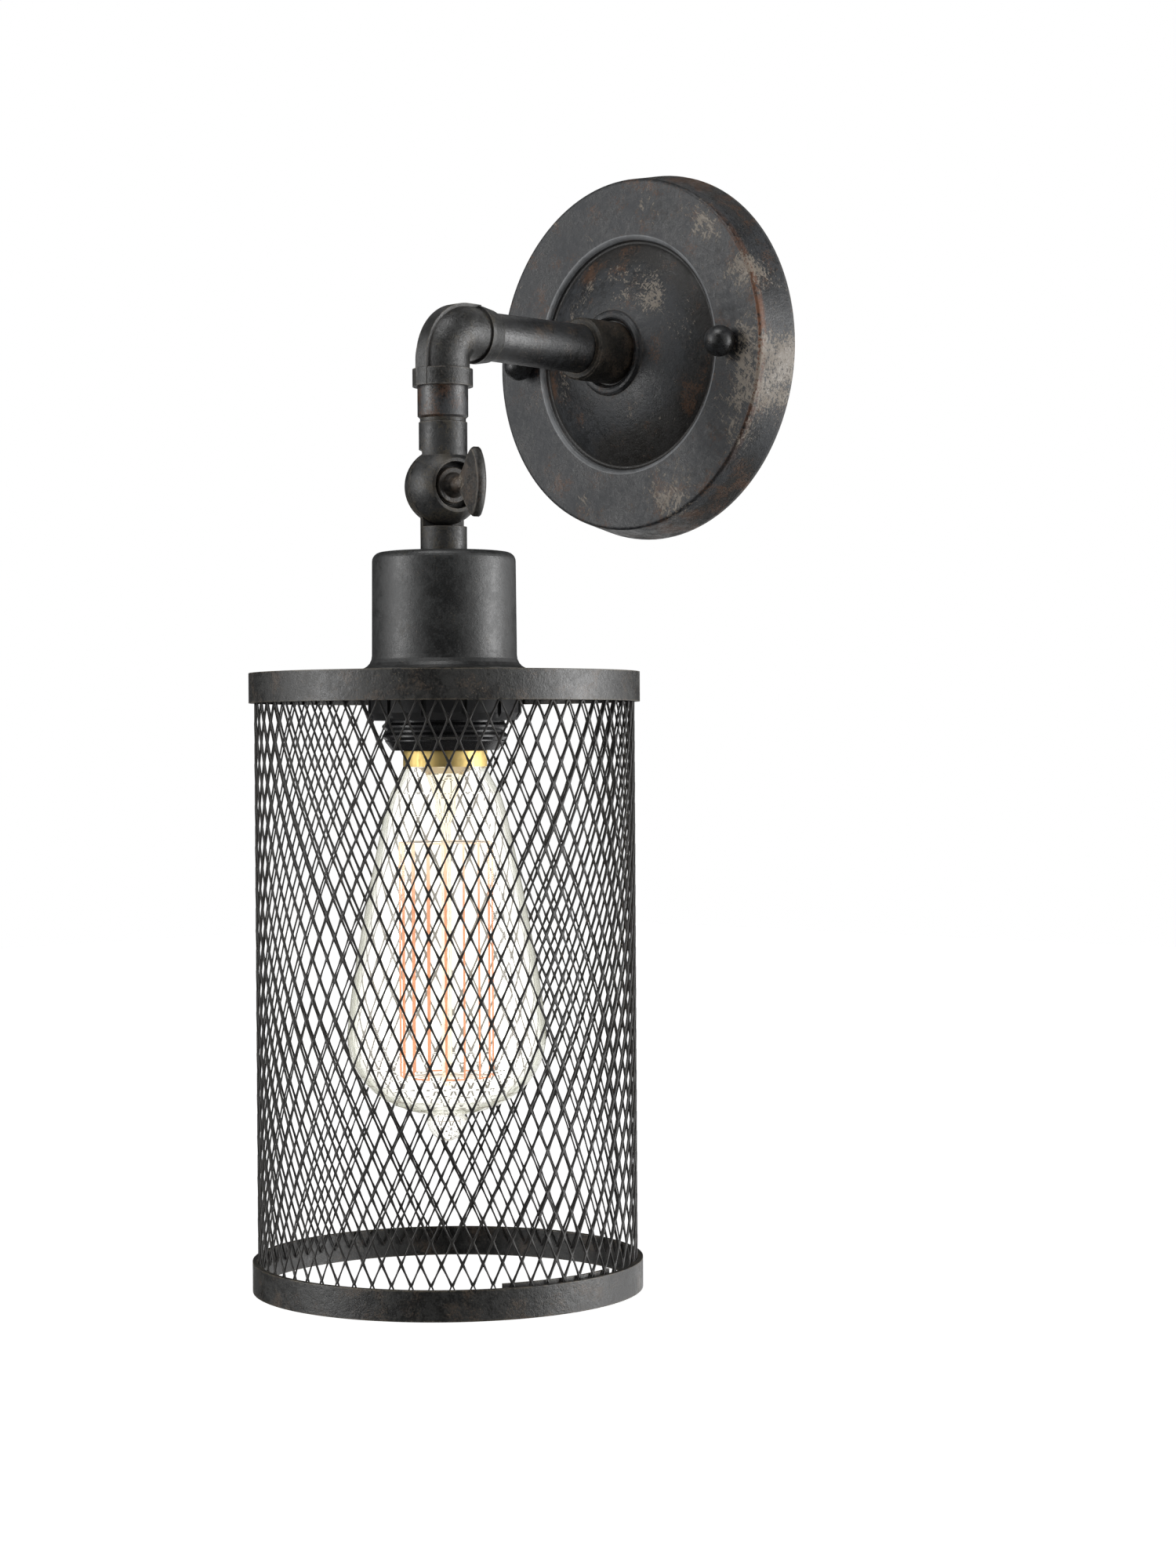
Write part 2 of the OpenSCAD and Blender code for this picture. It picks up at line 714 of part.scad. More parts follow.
module swivel_lower() {
  flat = ball_r + 0.4;
  channel_mid = (channel_r + channel_core_r) / 2;
  color(bronze) at_pivot() {
    difference() {
      rotate([0, -90, 0]) half_ball(ball_r, channel_far);
      translate([0, 0, -ball_r - channel_mid]) cylinder(h = ball_r, r = wire_way_r);
    }
    side_of(-1, -half_split) difference() {
      translate([0, 0, -flat]) cylinder(h = flat - channel_r - 0.9, r = stem_r);
      translate([0, 0, -2 * ball_r]) cylinder(h = 2 * ball_r, r = wire_way_r);
    }
    rotate_extrude() polygon([
      [wire_way_r, -flat], [stem_r, -flat], [stem_r, -stem_show], [hub_thread_r, -stem_show],
      [hub_thread_r, stem_end - pivot_z], [wire_way_r, stem_end - pivot_z]]);
  }
}

module screw_washer() {
  color(zinc) at_pivot() along_screw() translate([0, 0, counterbore_floor])
    tube(washer_r, screw_r + fit, washer_t);
}

module thumb_screw() {
  waist = 5;
  color(worn_bronze) at_pivot() {
    along_screw() {
      translate([0, 0, screw_tip]) cylinder(h = washer_out + gap - screw_tip, r = screw_r);
      translate([0, 0, washer_out + fit]) cylinder(h = screw_flange_t - fit, r = screw_flange_r);
      translate([0, 0, washer_out + fit])
        cylinder(h = screw_collar_end - washer_out - fit, r1 = screw_collar_r, r2 = screw_neck_r);
      translate([0, 0, screw_collar_end - eps])
        cylinder(h = grip_start + 3 - screw_collar_end, r = screw_neck_r);
    }
    translate([0, grip_t / 2, 0]) rotate([90, 0, 0]) linear_extrude(grip_t) polygon(concat(
      [[grip_start, -screw_neck_r], [grip_start + 2.5, -waist], [grip_tip - 2.4, -grip_half + 0.9]],
      arc([grip_end - grip_arc_r, 0], grip_arc_r,
        -asin(grip_half / grip_arc_r), asin(grip_half / grip_arc_r), 16),
      [[grip_tip - 2.4, grip_half - 0.9], [grip_start + 2.5, waist], [grip_start, screw_neck_r]]));
  }
}

// ---- Cup and lamp holder ----

function cup_path() = concat(
  [for (a = [90:-90 / flare_steps:0])
    [flare_r - (flare_r - cup_r - cup_widening) * cos(a),
     cage_top + flare_h - (flare_h - cup_wall) * sin(a)]],
  arc([cup_r - cup_edge_r, cup_top - cup_edge_r], cup_edge_r, 0, 90, 6),
  [[hub_thread_r + 2 * fit, cup_top]]);

module socket_cup() {
  color(black) on_axis(0) rotate_extrude() polygon(sheet(cup_path(), cup_wall));
}

module stem_washer() {
  color(zinc) on_axis(stem_washer_z - stem_washer_t) tube(stem_washer_r, hub_thread_r + fit, stem_washer_t);
}

module stem_nut() {
  color(zinc) on_axis(stem_nut_z - stem_nut_h) hex_nut(stem_nut_af, hub_thread_r + fit, stem_nut_h);
}

module at_bracket_screws() {
  on_axis(holder_top) for (side = [-1, 1]) translate([side * bracket_screw_x, 0, 0]) children();
}

module socket_bracket() {
  color(zinc) difference() {
    on_axis(holder_top) tube(bracket_r, hub_thread_r + fit, bracket_t);
    at_bracket_screws() translate([0, 0, -eps]) cylinder(h = bracket_t + 2 * eps, r = bracket_screw_r + fit);
  }
  color(zinc) on_axis(holder_top + bracket_t - eps)
    tube(bracket_bush_r, hub_thread_r + fit, bracket_bush_h + eps);
}

// Outline of the holder's outer thread, from its foot up
function skirt_threads() = [for (i = [0:thread_count - 1], side = [0:3])
  let (z = holder_end + taper_h + i * thread_pitch, step = [0, 0.3, 0.5, 0.8][side])
    [side == 1 || side == 2 ? skirt_r : skirt_core_r, z + step * thread_pitch]];

module socket_body() {
  throat_r = 5;
  chamber_r = shell_r + shell_t + fit;
  color(black) difference() {
    on_axis(0) rotate_extrude() polygon(concat(
      [[chamber_r, holder_end], [mouth_rim_r, holder_end], [skirt_core_r, holder_end + taper_h - 0.4]],
      skirt_threads(),
      [[skirt_core_r, skirt_top], [holder_r, skirt_top], [holder_r, holder_top], [throat_r, holder_top],
       [throat_r, chamber_top], [chamber_r, chamber_top]]));
    at_bracket_screws() translate([0, 0, -bracket_screw_l])
      cylinder(h = bracket_screw_l + eps, r = bracket_screw_r + fit);
  }
}

module screw_shell() {
  color(brass) on_axis(shell_bottom) tube(shell_r + shell_t, shell_r, shell_top - shell_bottom);
  color(brass) on_axis(shell_top - shell_t) tube(shell_r + fit, contact_r + 2, shell_t);
}

module centre_contact() {
  seat_r = 7;
  color(brass) on_axis(0) {
    translate([0, 0, chamber_top - tongue_t]) cylinder(h = tongue_t, r = seat_r);
    translate([0, 0, contact_top + gap]) cylinder(h = chamber_top - contact_top - gap, r = contact_r - 1.4);
  }
}

module bracket_screws() {
  color(zinc) at_bracket_screws() {
    translate([0, 0, fit - bracket_screw_l]) cylinder(h = bracket_screw_l + bracket_t, r = bracket_screw_r);
    translate([0, 0, bracket_t]) cylinder(h = bracket_head_h, r = bracket_head_r);
  }
}

module shade_ring() {
  color(black) on_axis(ring_top - ring_h) difference() {
    rotate_extrude() polygon([
      [ring_bore_r, 0], [ring_bottom_r, 0], [ring_r, 2.2], [ring_r, ring_h], [ring_bore_r, ring_h]]);
    for (i = [0:ring_grips - 1]) rotate([0, 0, 360 / ring_grips * i])
      translate([ring_r - ring_groove_depth, -ring_groove_w / 2, -eps])
        cube([2 * ring_groove_depth, ring_groove_w, ring_h + 2 * eps]);
  }
}

// ---- Cage ----

module cage_cap() {
  color(bronze) on_axis(cage_top - cap_t) tube(band_inner_r - fit, cap_hole_r, cap_t);
}

module top_band() { color(bronze) on_axis(cage_top - band_h) tube(cage_r, band_inner_r, band_h); }

module bottom_band() { color(bronze) on_axis(cage_bottom) tube(cage_r, band_inner_r, band_h); }

module diamond(x, y) {
  a = column_w * hole_scale;
  b = row_h * hole_scale;
  translate([x, y]) polygon([[a, 0], [0, b], [-a, 0], [0, -b]]);
}

// One flat strip of the mesh, two diamonds wide, standing on its lower edge
module mesh_panel() {
  difference() {
    translate([-panel_w / 2, 0]) square([panel_w, mesh_h]);
    for (c = [0:4], r = [1:mesh_rows - 1])
      if ((c + r) % 2 == 0) diamond((c - 2) * column_w, selvedge + r * row_h);
  }
}

// Strips of the mesh, counted around the cage from its front
module mesh_strips(first, last) {
  color(black) on_axis(mesh_bottom) for (i = [first:last]) rotate([0, 0, i * panel_turn])
    translate([0, -mesh_inner, 0]) rotate([90, 0, 0]) linear_extrude(mesh_t) mesh_panel();
}

module mesh_front() { mesh_strips(-front_reach, panels_front - 1 - front_reach); }

module mesh_back() { mesh_strips(panels_front - front_reach, panels - 1 - front_reach); }

module splice_strip() {
  foot = 2;
  color(black) on_axis(cage_bottom + foot) rotate([0, 0, splice_start]) rotate_extrude(angle = splice_sweep)
    translate([splice_outer_r - splice_t, 0]) square([splice_t, band_h + splice_rise - foot]);
}

// ---- Lamp ----

function base_threads_path() = [for (i = [0:base_threads - 1], side = [0:3])
  let (z = base_rim + base_rim_h + i * base_pitch, step = [0, 0.35, 0.55, 0.9][side])
    [side == 1 || side == 2 ? base_r : base_r - base_thread_depth, z + step * base_pitch]];

module bulb_base() {
  inner_r = base_r - base_thread_depth - base_wall;
  color(brass) on_axis(0) rotate_extrude() polygon(concat(
    [[base_rim_r - base_wall, base_rim], [base_rim_r, base_rim], [base_rim_r, base_rim + base_rim_h - 0.6]],
    base_threads_path(),
    [[base_r - base_thread_depth, base_top - 1], [contact_r + 3.4, base_top],
    [contact_r + 3, base_top - base_wall],
     [inner_r, base_top - 1 - base_wall], [inner_r, base_rim + base_rim_h - 0.2],
     [base_rim_r - base_wall, base_rim + base_rim_h - 1]]));
}

module bulb_insulator() {
  color(black) on_axis(base_top) cylinder(h = insulator_h, r1 = contact_r + 3.2, r2 = contact_r + 0.4);
}

module bulb_contact() {
  color(zinc) on_axis(base_top + insulator_h) cylinder(h = contact_h, r1 = contact_r, r2 = contact_r - 1.4);
}

// The envelope's outline from the tip up to the neck, and so with its inside on the left
function envelope_path() = let (
  tip_z = base_rim - envelope_l,
  belly_z = base_rim - belly_drop,
  flank_top = base_rim - shoulder_drop) concat(
    [for (i = [0:tip_steps]) let (a = 90 * i / tip_steps)
      [tip_r * sin(a), tip_z + tip_l * (1 - cos(a)) * 0.85]],
    [for (i = [belly_steps - 1:-1:0]) let (h = belly_h * sin(90 * i / belly_steps))
      [lamp_r * pow(1 - pow(h / belly_h, belly_power), 1 / belly_power), belly_z - h]],
    [for (i = [1:flank_steps]) let (s = i / flank_steps)
      [lamp_r + (shoulder_r - lamp_r) * pow(s, 1.25), belly_z + (flank_top - belly_z) * s]],
    [[shoulder_r - 2.2, flank_top + 7], [neck_r + 1.6, base_rim - 3.2], [neck_r + 0.7, base_rim - 1.2],
     [neck_r, base_rim - fit], [neck_r, base_rim + neck_inside]]);

module bulb_glass() {
  color(glass, 0.4) on_axis(0) rotate_extrude() polygon(sheet(envelope_path(), glass_t));
}

module glass_stem() {
  color(glass, 0.6) on_axis(0) rotate_extrude() polygon([
    [0, filament_bottom - rod_under], [rod_r, filament_bottom - rod_under], [rod_r, filament_top + rod_over],
    [pinch_r, filament_top + rod_over + pinch_l], [pinch_r, stem_foot_z - flare_tube_l],
    [pinch_r + 3, stem_foot_z - 0.4 * flare_tube_l],
    [stem_foot_r, stem_foot_z - 1], [stem_foot_r, stem_foot_z], [0, stem_foot_z]]);
}

module filament_supports() {
  color(zinc) on_axis(0) for (z = [filament_top, filament_bottom], i = [0:filament_strands / 2 - 1])
    translate([0, 0, z]) rotate([0, 0, 720 / filament_strands * i]) rotate([0, 90, 0])
      translate([0, 0, rod_r + fit])
        cylinder(h = filament_r - strand_r - gap - rod_r - fit, r = wire_r, $fn = 16);
}

module filament() {
  step = 360 / filament_strands;
  chord = 2 * filament_r * sin(step / 2);
  link_r = strand_r - fit;
  color(glow) on_axis(0) for (i = [0:filament_strands - 1]) rotate([0, 0, step * i]) {
    translate([filament_r, 0, filament_bottom - strand_r])
      cylinder(h = filament_l + 2 * strand_r, r = strand_r, $fn = 16);
    translate([filament_r, 0, i % 2 == 0 ? filament_bottom : filament_top])
      rotate([0, 0, step / 2]) rotate([-90, 0, 0]) cylinder(h = chord, r = link_r, $fn = 16);
  }
}

strap_rear();
strap_front();
strap_rivet();
mounting_studs();
stud_nuts();
ground_screw();
backplate();
cap_nuts();
hub_nipple();
hub_nut();
hub_washer();
hub_coupling();
arm_pipe();
elbow();
drop_pipe();
swivel_upper();
screw_washer();
thumb_screw();
swivel_lower();
stem_washer();
stem_nut();
socket_cup();
socket_bracket();
socket_body();
screw_shell();
centre_contact();
bracket_screws();
shade_ring();
cage_cap();
top_band();
mesh_front();
mesh_back();
bottom_band();
splice_strip();
bulb_base();
bulb_insulator();
bulb_contact();
bulb_glass();
glass_stem();
filament_supports();
filament();
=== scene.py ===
import json
import math

import bmesh
import bpy
from mathutils import Matrix, Vector, noise


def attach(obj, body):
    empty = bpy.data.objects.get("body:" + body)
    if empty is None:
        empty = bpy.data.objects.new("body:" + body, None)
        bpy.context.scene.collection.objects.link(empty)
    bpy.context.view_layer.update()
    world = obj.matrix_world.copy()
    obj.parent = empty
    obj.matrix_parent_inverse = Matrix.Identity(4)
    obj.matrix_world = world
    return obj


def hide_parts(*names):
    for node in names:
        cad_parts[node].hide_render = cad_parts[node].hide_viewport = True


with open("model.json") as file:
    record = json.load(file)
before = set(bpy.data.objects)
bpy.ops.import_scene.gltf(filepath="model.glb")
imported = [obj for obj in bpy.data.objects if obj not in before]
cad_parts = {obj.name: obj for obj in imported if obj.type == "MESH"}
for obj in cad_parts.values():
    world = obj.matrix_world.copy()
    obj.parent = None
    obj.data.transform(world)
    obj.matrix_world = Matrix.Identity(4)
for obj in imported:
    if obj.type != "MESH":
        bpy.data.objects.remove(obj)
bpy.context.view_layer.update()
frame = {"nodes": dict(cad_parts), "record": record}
nodes = frame["nodes"]
scene = bpy.context.scene

MM = 0.001

# ---- Places of the object, in millimetres, as its solids have them ----

AXIS_OUT = 98.425       # distance of the drop's axis from the wall
PIVOT_Z = -48.2         # centre of the swivel's ball
FILAMENT_TOP = -158.1   # upper end of the filament


def on_axis(x, y, z):
    """A point given from the drop's axis in millimetres, as a point of the scene in metres."""
    return Vector((x, y - AXIS_OUT, z)) * MM


# ---- Camera, floor and light, in metres ----

CAMERA_PLACE = (0.677943, -0.761922, -0.128454)
CAMERA_YAW = 42.951     # turn of the view from +Y towards -X, in degrees
CAMERA_DOWN = 0.714     # how far the view looks down, in degrees
CAMERA_ROLL = -0.341    # in degrees
CAMERA_LENS = 70.34     # focal length in millimetres
CAMERA_SENSOR = 36      # sensor width in millimetres
CAMERA_REACH = (0.05, 50)   # nearest and farthest distance that it shows
MIDDLE = (0, -0.08, -0.15)  # point that the lamps and cards face
WHITE = (1, 1, 1, 1)
AMBIENT = 0.21          # strength of the world's light on the object
SHOWN_WORLD = 1         # strength of the world that is seen
FLOOR_Z = -0.5
FLOOR_SIZE = 8
FLOOR_COLOUR = (0.93, 0.93, 0.93, 1)
FLOOR_ROUGHNESS = 0.9
FLOOR_NEAR = (0.5, 0.45)    # distance from the object, and the floor's own light there
FLOOR_FAR = (2.0, 0.85)
CARD_COLOUR = (0.01, 0.01, 0.01, 1)


def new_object(name, data):
    """Puts a camera, lamp or mesh into the scene."""
    made = bpy.data.objects.new(name, data)
    scene.collection.objects.link(made)
    return made


def new_rectangle(name, width, height, z=0):
    """A flat rectangle around the middle of its own space, at the height z."""
    w, h = width / 2, height / 2
    mesh = bpy.data.meshes.new(name)
    mesh.from_pydata([(-w, -h, z), (w, -h, z), (w, h, z), (-w, h, z)], [], [(0, 1, 2, 3)])
    return new_object(name, mesh)


def new_material(name, colour):
    material = bpy.data.materials.new(name)
    material.use_nodes = True
    material.node_tree.nodes["Principled BSDF"].inputs["Base Color"].default_value = colour
    return material


def add_camera():
    yaw, down, roll = (math.radians(a) for a in (CAMERA_YAW, CAMERA_DOWN, CAMERA_ROLL))
    flat_right = Vector((math.cos(yaw), math.sin(yaw), 0))
    flat_ahead = Vector((-math.sin(yaw), math.cos(yaw), 0))
    up = Vector((0, 0, 1))
    ahead = flat_ahead * math.cos(down) - up * math.sin(down)
    tilted = up * math.cos(down) + flat_ahead * math.sin(down)
    right = flat_right * math.cos(roll) + tilted * math.sin(roll)
    above = tilted * math.cos(roll) - flat_right * math.sin(roll)
    data = bpy.data.cameras.new("camera")
    data.sensor_width = CAMERA_SENSOR
    data.lens = CAMERA_LENS
    data.clip_start, data.clip_end = CAMERA_REACH
    camera = new_object("camera", data)
    x, y, z = CAMERA_PLACE
    camera.matrix_world = Matrix((
        (right.x, above.x, -ahead.x, x),
        (right.y, above.y, -ahead.y, y),
        (right.z, above.z, -ahead.z, z),
        (0, 0, 0, 1)))
    scene.camera = camera


def seen_directly(tree):
    """1 for what the camera, metal and glass show, and 0 for the light that falls on the object."""
    path = tree.nodes.new("ShaderNodeLightPath")
    total = path.outputs["Is Camera Ray"]
    for kind in ("Is Glossy Ray", "Is Transmission Ray"):
        larger = tree.nodes.new("ShaderNodeMath")
        larger.operation = "MAXIMUM"
        tree.links.new(total, larger.inputs[0])
        tree.links.new(path.outputs[kind], larger.inputs[1])
        total = larger.outputs[0]
    return total


def add_world():
    world = bpy.data.worlds.new("studio")
    world.use_nodes = True
    scene.world = world
    tree = world.node_tree
    lit = tree.nodes["Background"]
    lit.inputs["Color"].default_value = WHITE
    lit.inputs["Strength"].default_value = AMBIENT
    shown = tree.nodes.new("ShaderNodeBackground")
    shown.inputs["Color"].default_value = WHITE
    shown.inputs["Strength"].default_value = SHOWN_WORLD
    choose = tree.nodes.new("ShaderNodeMixShader")
    tree.links.new(seen_directly(tree), choose.inputs[0])
    tree.links.new(lit.outputs[0], choose.inputs[1])
    tree.links.new(shown.outputs[0], choose.inputs[2])
    tree.links.new(choose.outputs[0], tree.nodes["World Output"].inputs["Surface"])


def add_floor():
    """A pale floor that keeps the object's shadow, with a light of its own that grows away from it."""
    floor = new_rectangle("floor", FLOOR_SIZE, FLOOR_SIZE, FLOOR_Z)
    material = new_material("floor", FLOOR_COLOUR)
    tree = material.node_tree
    surface = tree.nodes["Principled BSDF"]
    surface.inputs["Roughness"].default_value = FLOOR_ROUGHNESS
    surface.inputs["Emission Color"].default_value = WHITE
    place = tree.nodes.new("ShaderNodeTexCoord")
    reach_out = tree.nodes.new("ShaderNodeVectorMath")
    reach_out.operation = "LENGTH"
    tree.links.new(place.outputs["Object"], reach_out.inputs[0])
    rise = tree.nodes.new("ShaderNodeMapRange")
    rise.inputs["From Min"].default_value, rise.inputs["To Min"].default_value = FLOOR_NEAR
    rise.inputs["From Max"].default_value, rise.inputs["To Max"].default_value = FLOOR_FAR
    tree.links.new(reach_out.outputs["Value"], rise.inputs["Value"])
    lift = tree.nodes.new("ShaderNodeMath")
    lift.operation = "MULTIPLY"
    tree.links.new(rise.outputs[0], lift.inputs[1])
    tree.links.new(seen_directly(tree), lift.inputs[0])
    tree.links.new(lift.outputs[0], surface.inputs["Emission Strength"])
    floor.data.materials.append(material)


def face_middle(piece):
    """Turns a lamp or card towards the object."""
    piece.rotation_euler = (Vector(MIDDLE) - piece.location).to_track_quat("-Z", "Y").to_euler()


def around(azimuth, distance, height):
    """A place around the object, azimuth degrees from +X."""
    a = math.radians(azimuth)
    return (distance * math.cos(a), distance * math.sin(a), height)


def add_softbox(name, place, width, height, radiance):
    data = bpy.data.lights.new(name, "AREA")
    data.shape = "RECTANGLE"
    data.size = width
    data.size_y = height
    data.energy = radiance * math.pi * width * height
    lamp = new_object(name, data)
    lamp.location = place
    face_middle(lamp)


def add_dark_card(name, place, width, height):
    """A black card that metal and glass mirror. It isn't seen itself and takes no light away."""
    card = new_rectangle(name, width, height)
    card.location = place
    face_middle(card)
    card.data.materials.append(new_material(name, CARD_COLOUR))
    card.visible_camera = False
    card.visible_diffuse = False
    card.visible_transmission = False
    card.visible_shadow = False


DARK_CARDS = [  # name, place, width and height
    ("card_front", around(-48, 1.7, -0.15), 2.0, 3.0),
    ("card_side", around(180, 1.5, -0.15), 1.3, 3.0),
    ("card_back", around(128, 1.9, -0.15), 2.8, 3.0),
    ("card_high", (0.0, -0.1, 1.7), 3.4, 3.4),
    ("card_low", (0.0, -0.1, -0.47), 2.6, 2.6),
]
SOFTBOXES = [  # name, place, width, height and radiance
    ("softbox_right", around(34.5, 1.45, -0.05), 0.75, 1.0, 8.8),
    ("softbox_left", around(-117, 1.4, 0.05), 0.4, 1.0, 7.4),
    ("softbox_top", (0.1, -0.5, 1.15), 0.7, 0.5, 6.5),
]

add_camera()
add_world()
add_floor()
for card in DARK_CARDS:
    add_dark_card(*card)
for softbox in SOFTBOXES:
    add_softbox(*softbox)
scene.view_settings.view_transform = "Standard"


# ---- Materials ----

BEVEL_SAMPLES = 4
SHADE_SAMPLES = 6
EDGE_RANGE = (0.02, 0.25)       # how sharply an edge has to turn to count, from none to all
CREASE_RANGE = (0.40, 0.97)     # how open a place is, from a deep crease to the open surface
MIX_FIRST, MIX_SECOND, MIX_RESULT = 6, 7, 2     # colour sockets of the Mix node


def socket_name(key):
    """The Principled node's own name of a keyword such as Base_Color."""
    return key.replace("_", " ").title().replace("Ior", "IOR")


class Look:
    """A Principled material whose patterns are laid out in the object's own space."""

    def __init__(self, name, **constants):
        self.material = bpy.data.materials.new(name)
        self.material.use_nodes = True
        self.tree = self.material.node_tree
        self.surface = self.tree.nodes["Principled BSDF"]
        self.place = self.add("ShaderNodeTexCoord").outputs["Object"]
        self.set(**constants)

    def add(self, kind, **settings):
        made = self.tree.nodes.new(kind)
        for key, value in settings.items():
            setattr(made, key, value)
        return made

    def put(self, socket, value):
        if isinstance(value, bpy.types.NodeSocket):
            self.tree.links.new(value, socket)
        elif isinstance(value, tuple) and len(value) == 3 and socket.type == "RGBA":
            socket.default_value = (*value, 1)
        else:
            socket.default_value = value

    def set(self, **values):
        for key, value in values.items():
            self.put(self.surface.inputs[socket_name(key)], value)
        return self.material

    def math(self, operation, first, second):
        made = self.add("ShaderNodeMath", operation=operation)
        self.put(made.inputs[0], first)
        self.put(made.inputs[1], second)
        return made.outputs[0]

    def plus(self, first, second):
        return self.math("ADD", first, second)

    def times(self, first, second):
        return self.math("MULTIPLY", first, second)

    def larger(self, first, second):
        return self.math("MAXIMUM", first, second)

    def rest(self, share):
        """What a share leaves of 1."""
        return self.math("SUBTRACT", 1.0, share)

    def weighted(self, values, weights):
        """The sum of values, each times its weight."""
        *others, total = [self.times(value, weight) for value, weight in zip(values, weights)]
        for part in reversed(others):
            total = self.plus(part, total)
        return total

    def step(self, value, low, high, start=0.0, end=1.0):
        """A soft step from start at low to end at high."""
        made = self.add("ShaderNodeMapRange", interpolation_type="SMOOTHSTEP")
        self.put(made.inputs["Value"], value)
        for key, number in (("From Min", low), ("From Max", high), ("To Min", start), ("To Max", end)):
            self.put(made.inputs[key], number)
        return made.outputs[0]

    def blend(self, share, first, second):
        made = self.add("ShaderNodeMix", data_type="RGBA")
        self.put(made.inputs[0], share)
        self.put(made.inputs[MIX_FIRST], first)
        self.put(made.inputs[MIX_SECOND], second)
        return made.outputs[MIX_RESULT]

    def stretched(self, scale, turn=0):
        """The object's space with its own scale along each direction, turned about Y by degrees."""
        made = self.add("ShaderNodeMapping", vector_type="TEXTURE")
        self.put(made.inputs["Vector"], self.place)
        made.inputs["Rotation"].default_value = (0, math.radians(turn), 0)
        made.inputs["Scale"].default_value = [1 / s for s in scale]
        return made.outputs[0]

    def noise(self, scale, detail, roughness, where=None):
        made = self.add("ShaderNodeTexNoise")
        self.put(made.inputs["Vector"], where or self.place)
        self.put(made.inputs["Scale"], scale)
        self.put(made.inputs["Detail"], detail)
        self.put(made.inputs["Roughness"], roughness)
        return made.outputs["Fac"]

    def near(self, centre, radius):
        """1 at a place of the object and 0 from radius on, in millimetres."""
        made = self.add("ShaderNodeVectorMath", operation="DISTANCE")
        self.put(made.inputs[0], self.place)
        made.inputs[1].default_value = [c * MM for c in centre]
        return self.step(made.outputs["Value"], 0.0, radius * MM, 1.0, 0.0)

    def with_places(self, value, places):
        """A value that rises around each place, given as its centre, reach in millimetres and strength."""
        for centre, radius, strength in places:
            value = self.plus(value, self.times(self.near(centre, radius), strength))
        return value

    def ring_share(self, inner, outer, soft):
        """1 between two radii around the canopy's axis, in millimetres."""
        flat = self.add("ShaderNodeVectorMath", operation="MULTIPLY")
        self.put(flat.inputs[0], self.place)
        flat.inputs[1].default_value = (1, 0, 1)
        reach = self.add("ShaderNodeVectorMath", operation="LENGTH")
        self.put(reach.inputs[0], flat.outputs[0])
        from_axis = self.times(reach.outputs["Value"], 1 / MM)
        return self.times(self.step(from_axis, inner - soft, inner),
                          self.step(from_axis, outer, outer + soft, 1.0, 0.0))

    def soft_normal(self, radius):
        """The surface's direction with its edges rounded by radius millimetres."""
        rounded = self.add("ShaderNodeBevel", samples=BEVEL_SAMPLES)
        rounded.inputs["Radius"].default_value = radius * MM
        return rounded.outputs[0]

    def edges(self, radius):
        """1 along the object's sharp edges, within radius millimetres."""
        flat = self.add("ShaderNodeNewGeometry")
        turn = self.add("ShaderNodeVectorMath", operation="DOT_PRODUCT")
        self.put(turn.inputs[0], self.soft_normal(radius))
        self.put(turn.inputs[1], flat.outputs["Normal"])
        return self.step(self.rest(turn.outputs["Value"]), *EDGE_RANGE)

    def creases(self, reach):
        """0 deep in the object's creases and 1 on its open surface, within reach millimetres."""
        made = self.add("ShaderNodeAmbientOcclusion", samples=SHADE_SAMPLES, only_local=True)
        made.inputs["Distance"].default_value = reach * MM
        return self.step(made.outputs["AO"], *CREASE_RANGE)

    def bump(self, height, distance, strength, normal=None):
        """A relief of distance millimetres, on the given direction of the surface."""
        made = self.add("ShaderNodeBump")
        made.inputs["Distance"].default_value = distance * MM
        made.inputs["Strength"].default_value = strength
        self.put(made.inputs["Height"], height)
        if normal is not None:
            self.put(made.inputs["Normal"], normal)
        return made.outputs[0]


# Patterns of the aged metal: cycles per metre, detail and roughness
CLOUD = (70, 5, 0.6)
PATCH = (95, 5, 0.65)
STAIN = (120, 4, 0.6)
MOTTLE = (420, 5, 0.7)
FINE = (1500, 5, 0.7)
FLECK = (2100, 2, 0.5)
STROKE = (1, 5, 0.7)
STROKE_SCALE = (1150, 1150, 260)    # cycles per metre across and along the strokes
STROKE_TURNS = (-46, 28)            # in degrees about Y

# Colours of the aged metal
CHARCOAL = (0.026, 0.0275, 0.030)
SOOT = (0.0105, 0.0108, 0.0108)
RUST = (0.070, 0.034, 0.017)
RUST_LINE = (0.13, 0.052, 0.022)
OLIVE = (0.050, 0.042, 0.029)
BRONZE = (0.060, 0.043, 0.030)
BARE = (0.21, 0.18, 0.145)
GOLD = (0.20, 0.16, 0.10)
# Patina, also put in as painted shade at the darker places and in the canopy's valley
PATINA_AND_SHADE = (0.0125, 0.011, 0.0095)
# Painted shade deep in creases
PAINTED_CREASE_SHADE = (0.0085, 0.007, 0.0055)
# Painted highlight along the canopy's lip
LIP_HIGHLIGHT = (0.22, 0.227, 0.235)

# Weights with which the patterns of the aged metal are added up
TONE_WEIGHTS = (0.35, 0.35, 0.30)   # cloud, mottle and fine
PATINA_WEIGHTS = (0.9, 1.1)         # stain and mottle
PATINA_MEAN = 1.0                   # their usual sum
SPECK_WEIGHTS = (0.55, 0.45)        # stain and fine
RUB_WEIGHTS = (0.26, 0.50, 0.24)    # patch, strokes and fine
RELIEF_WEIGHTS = (1.0, 0.5)         # mottle and fine

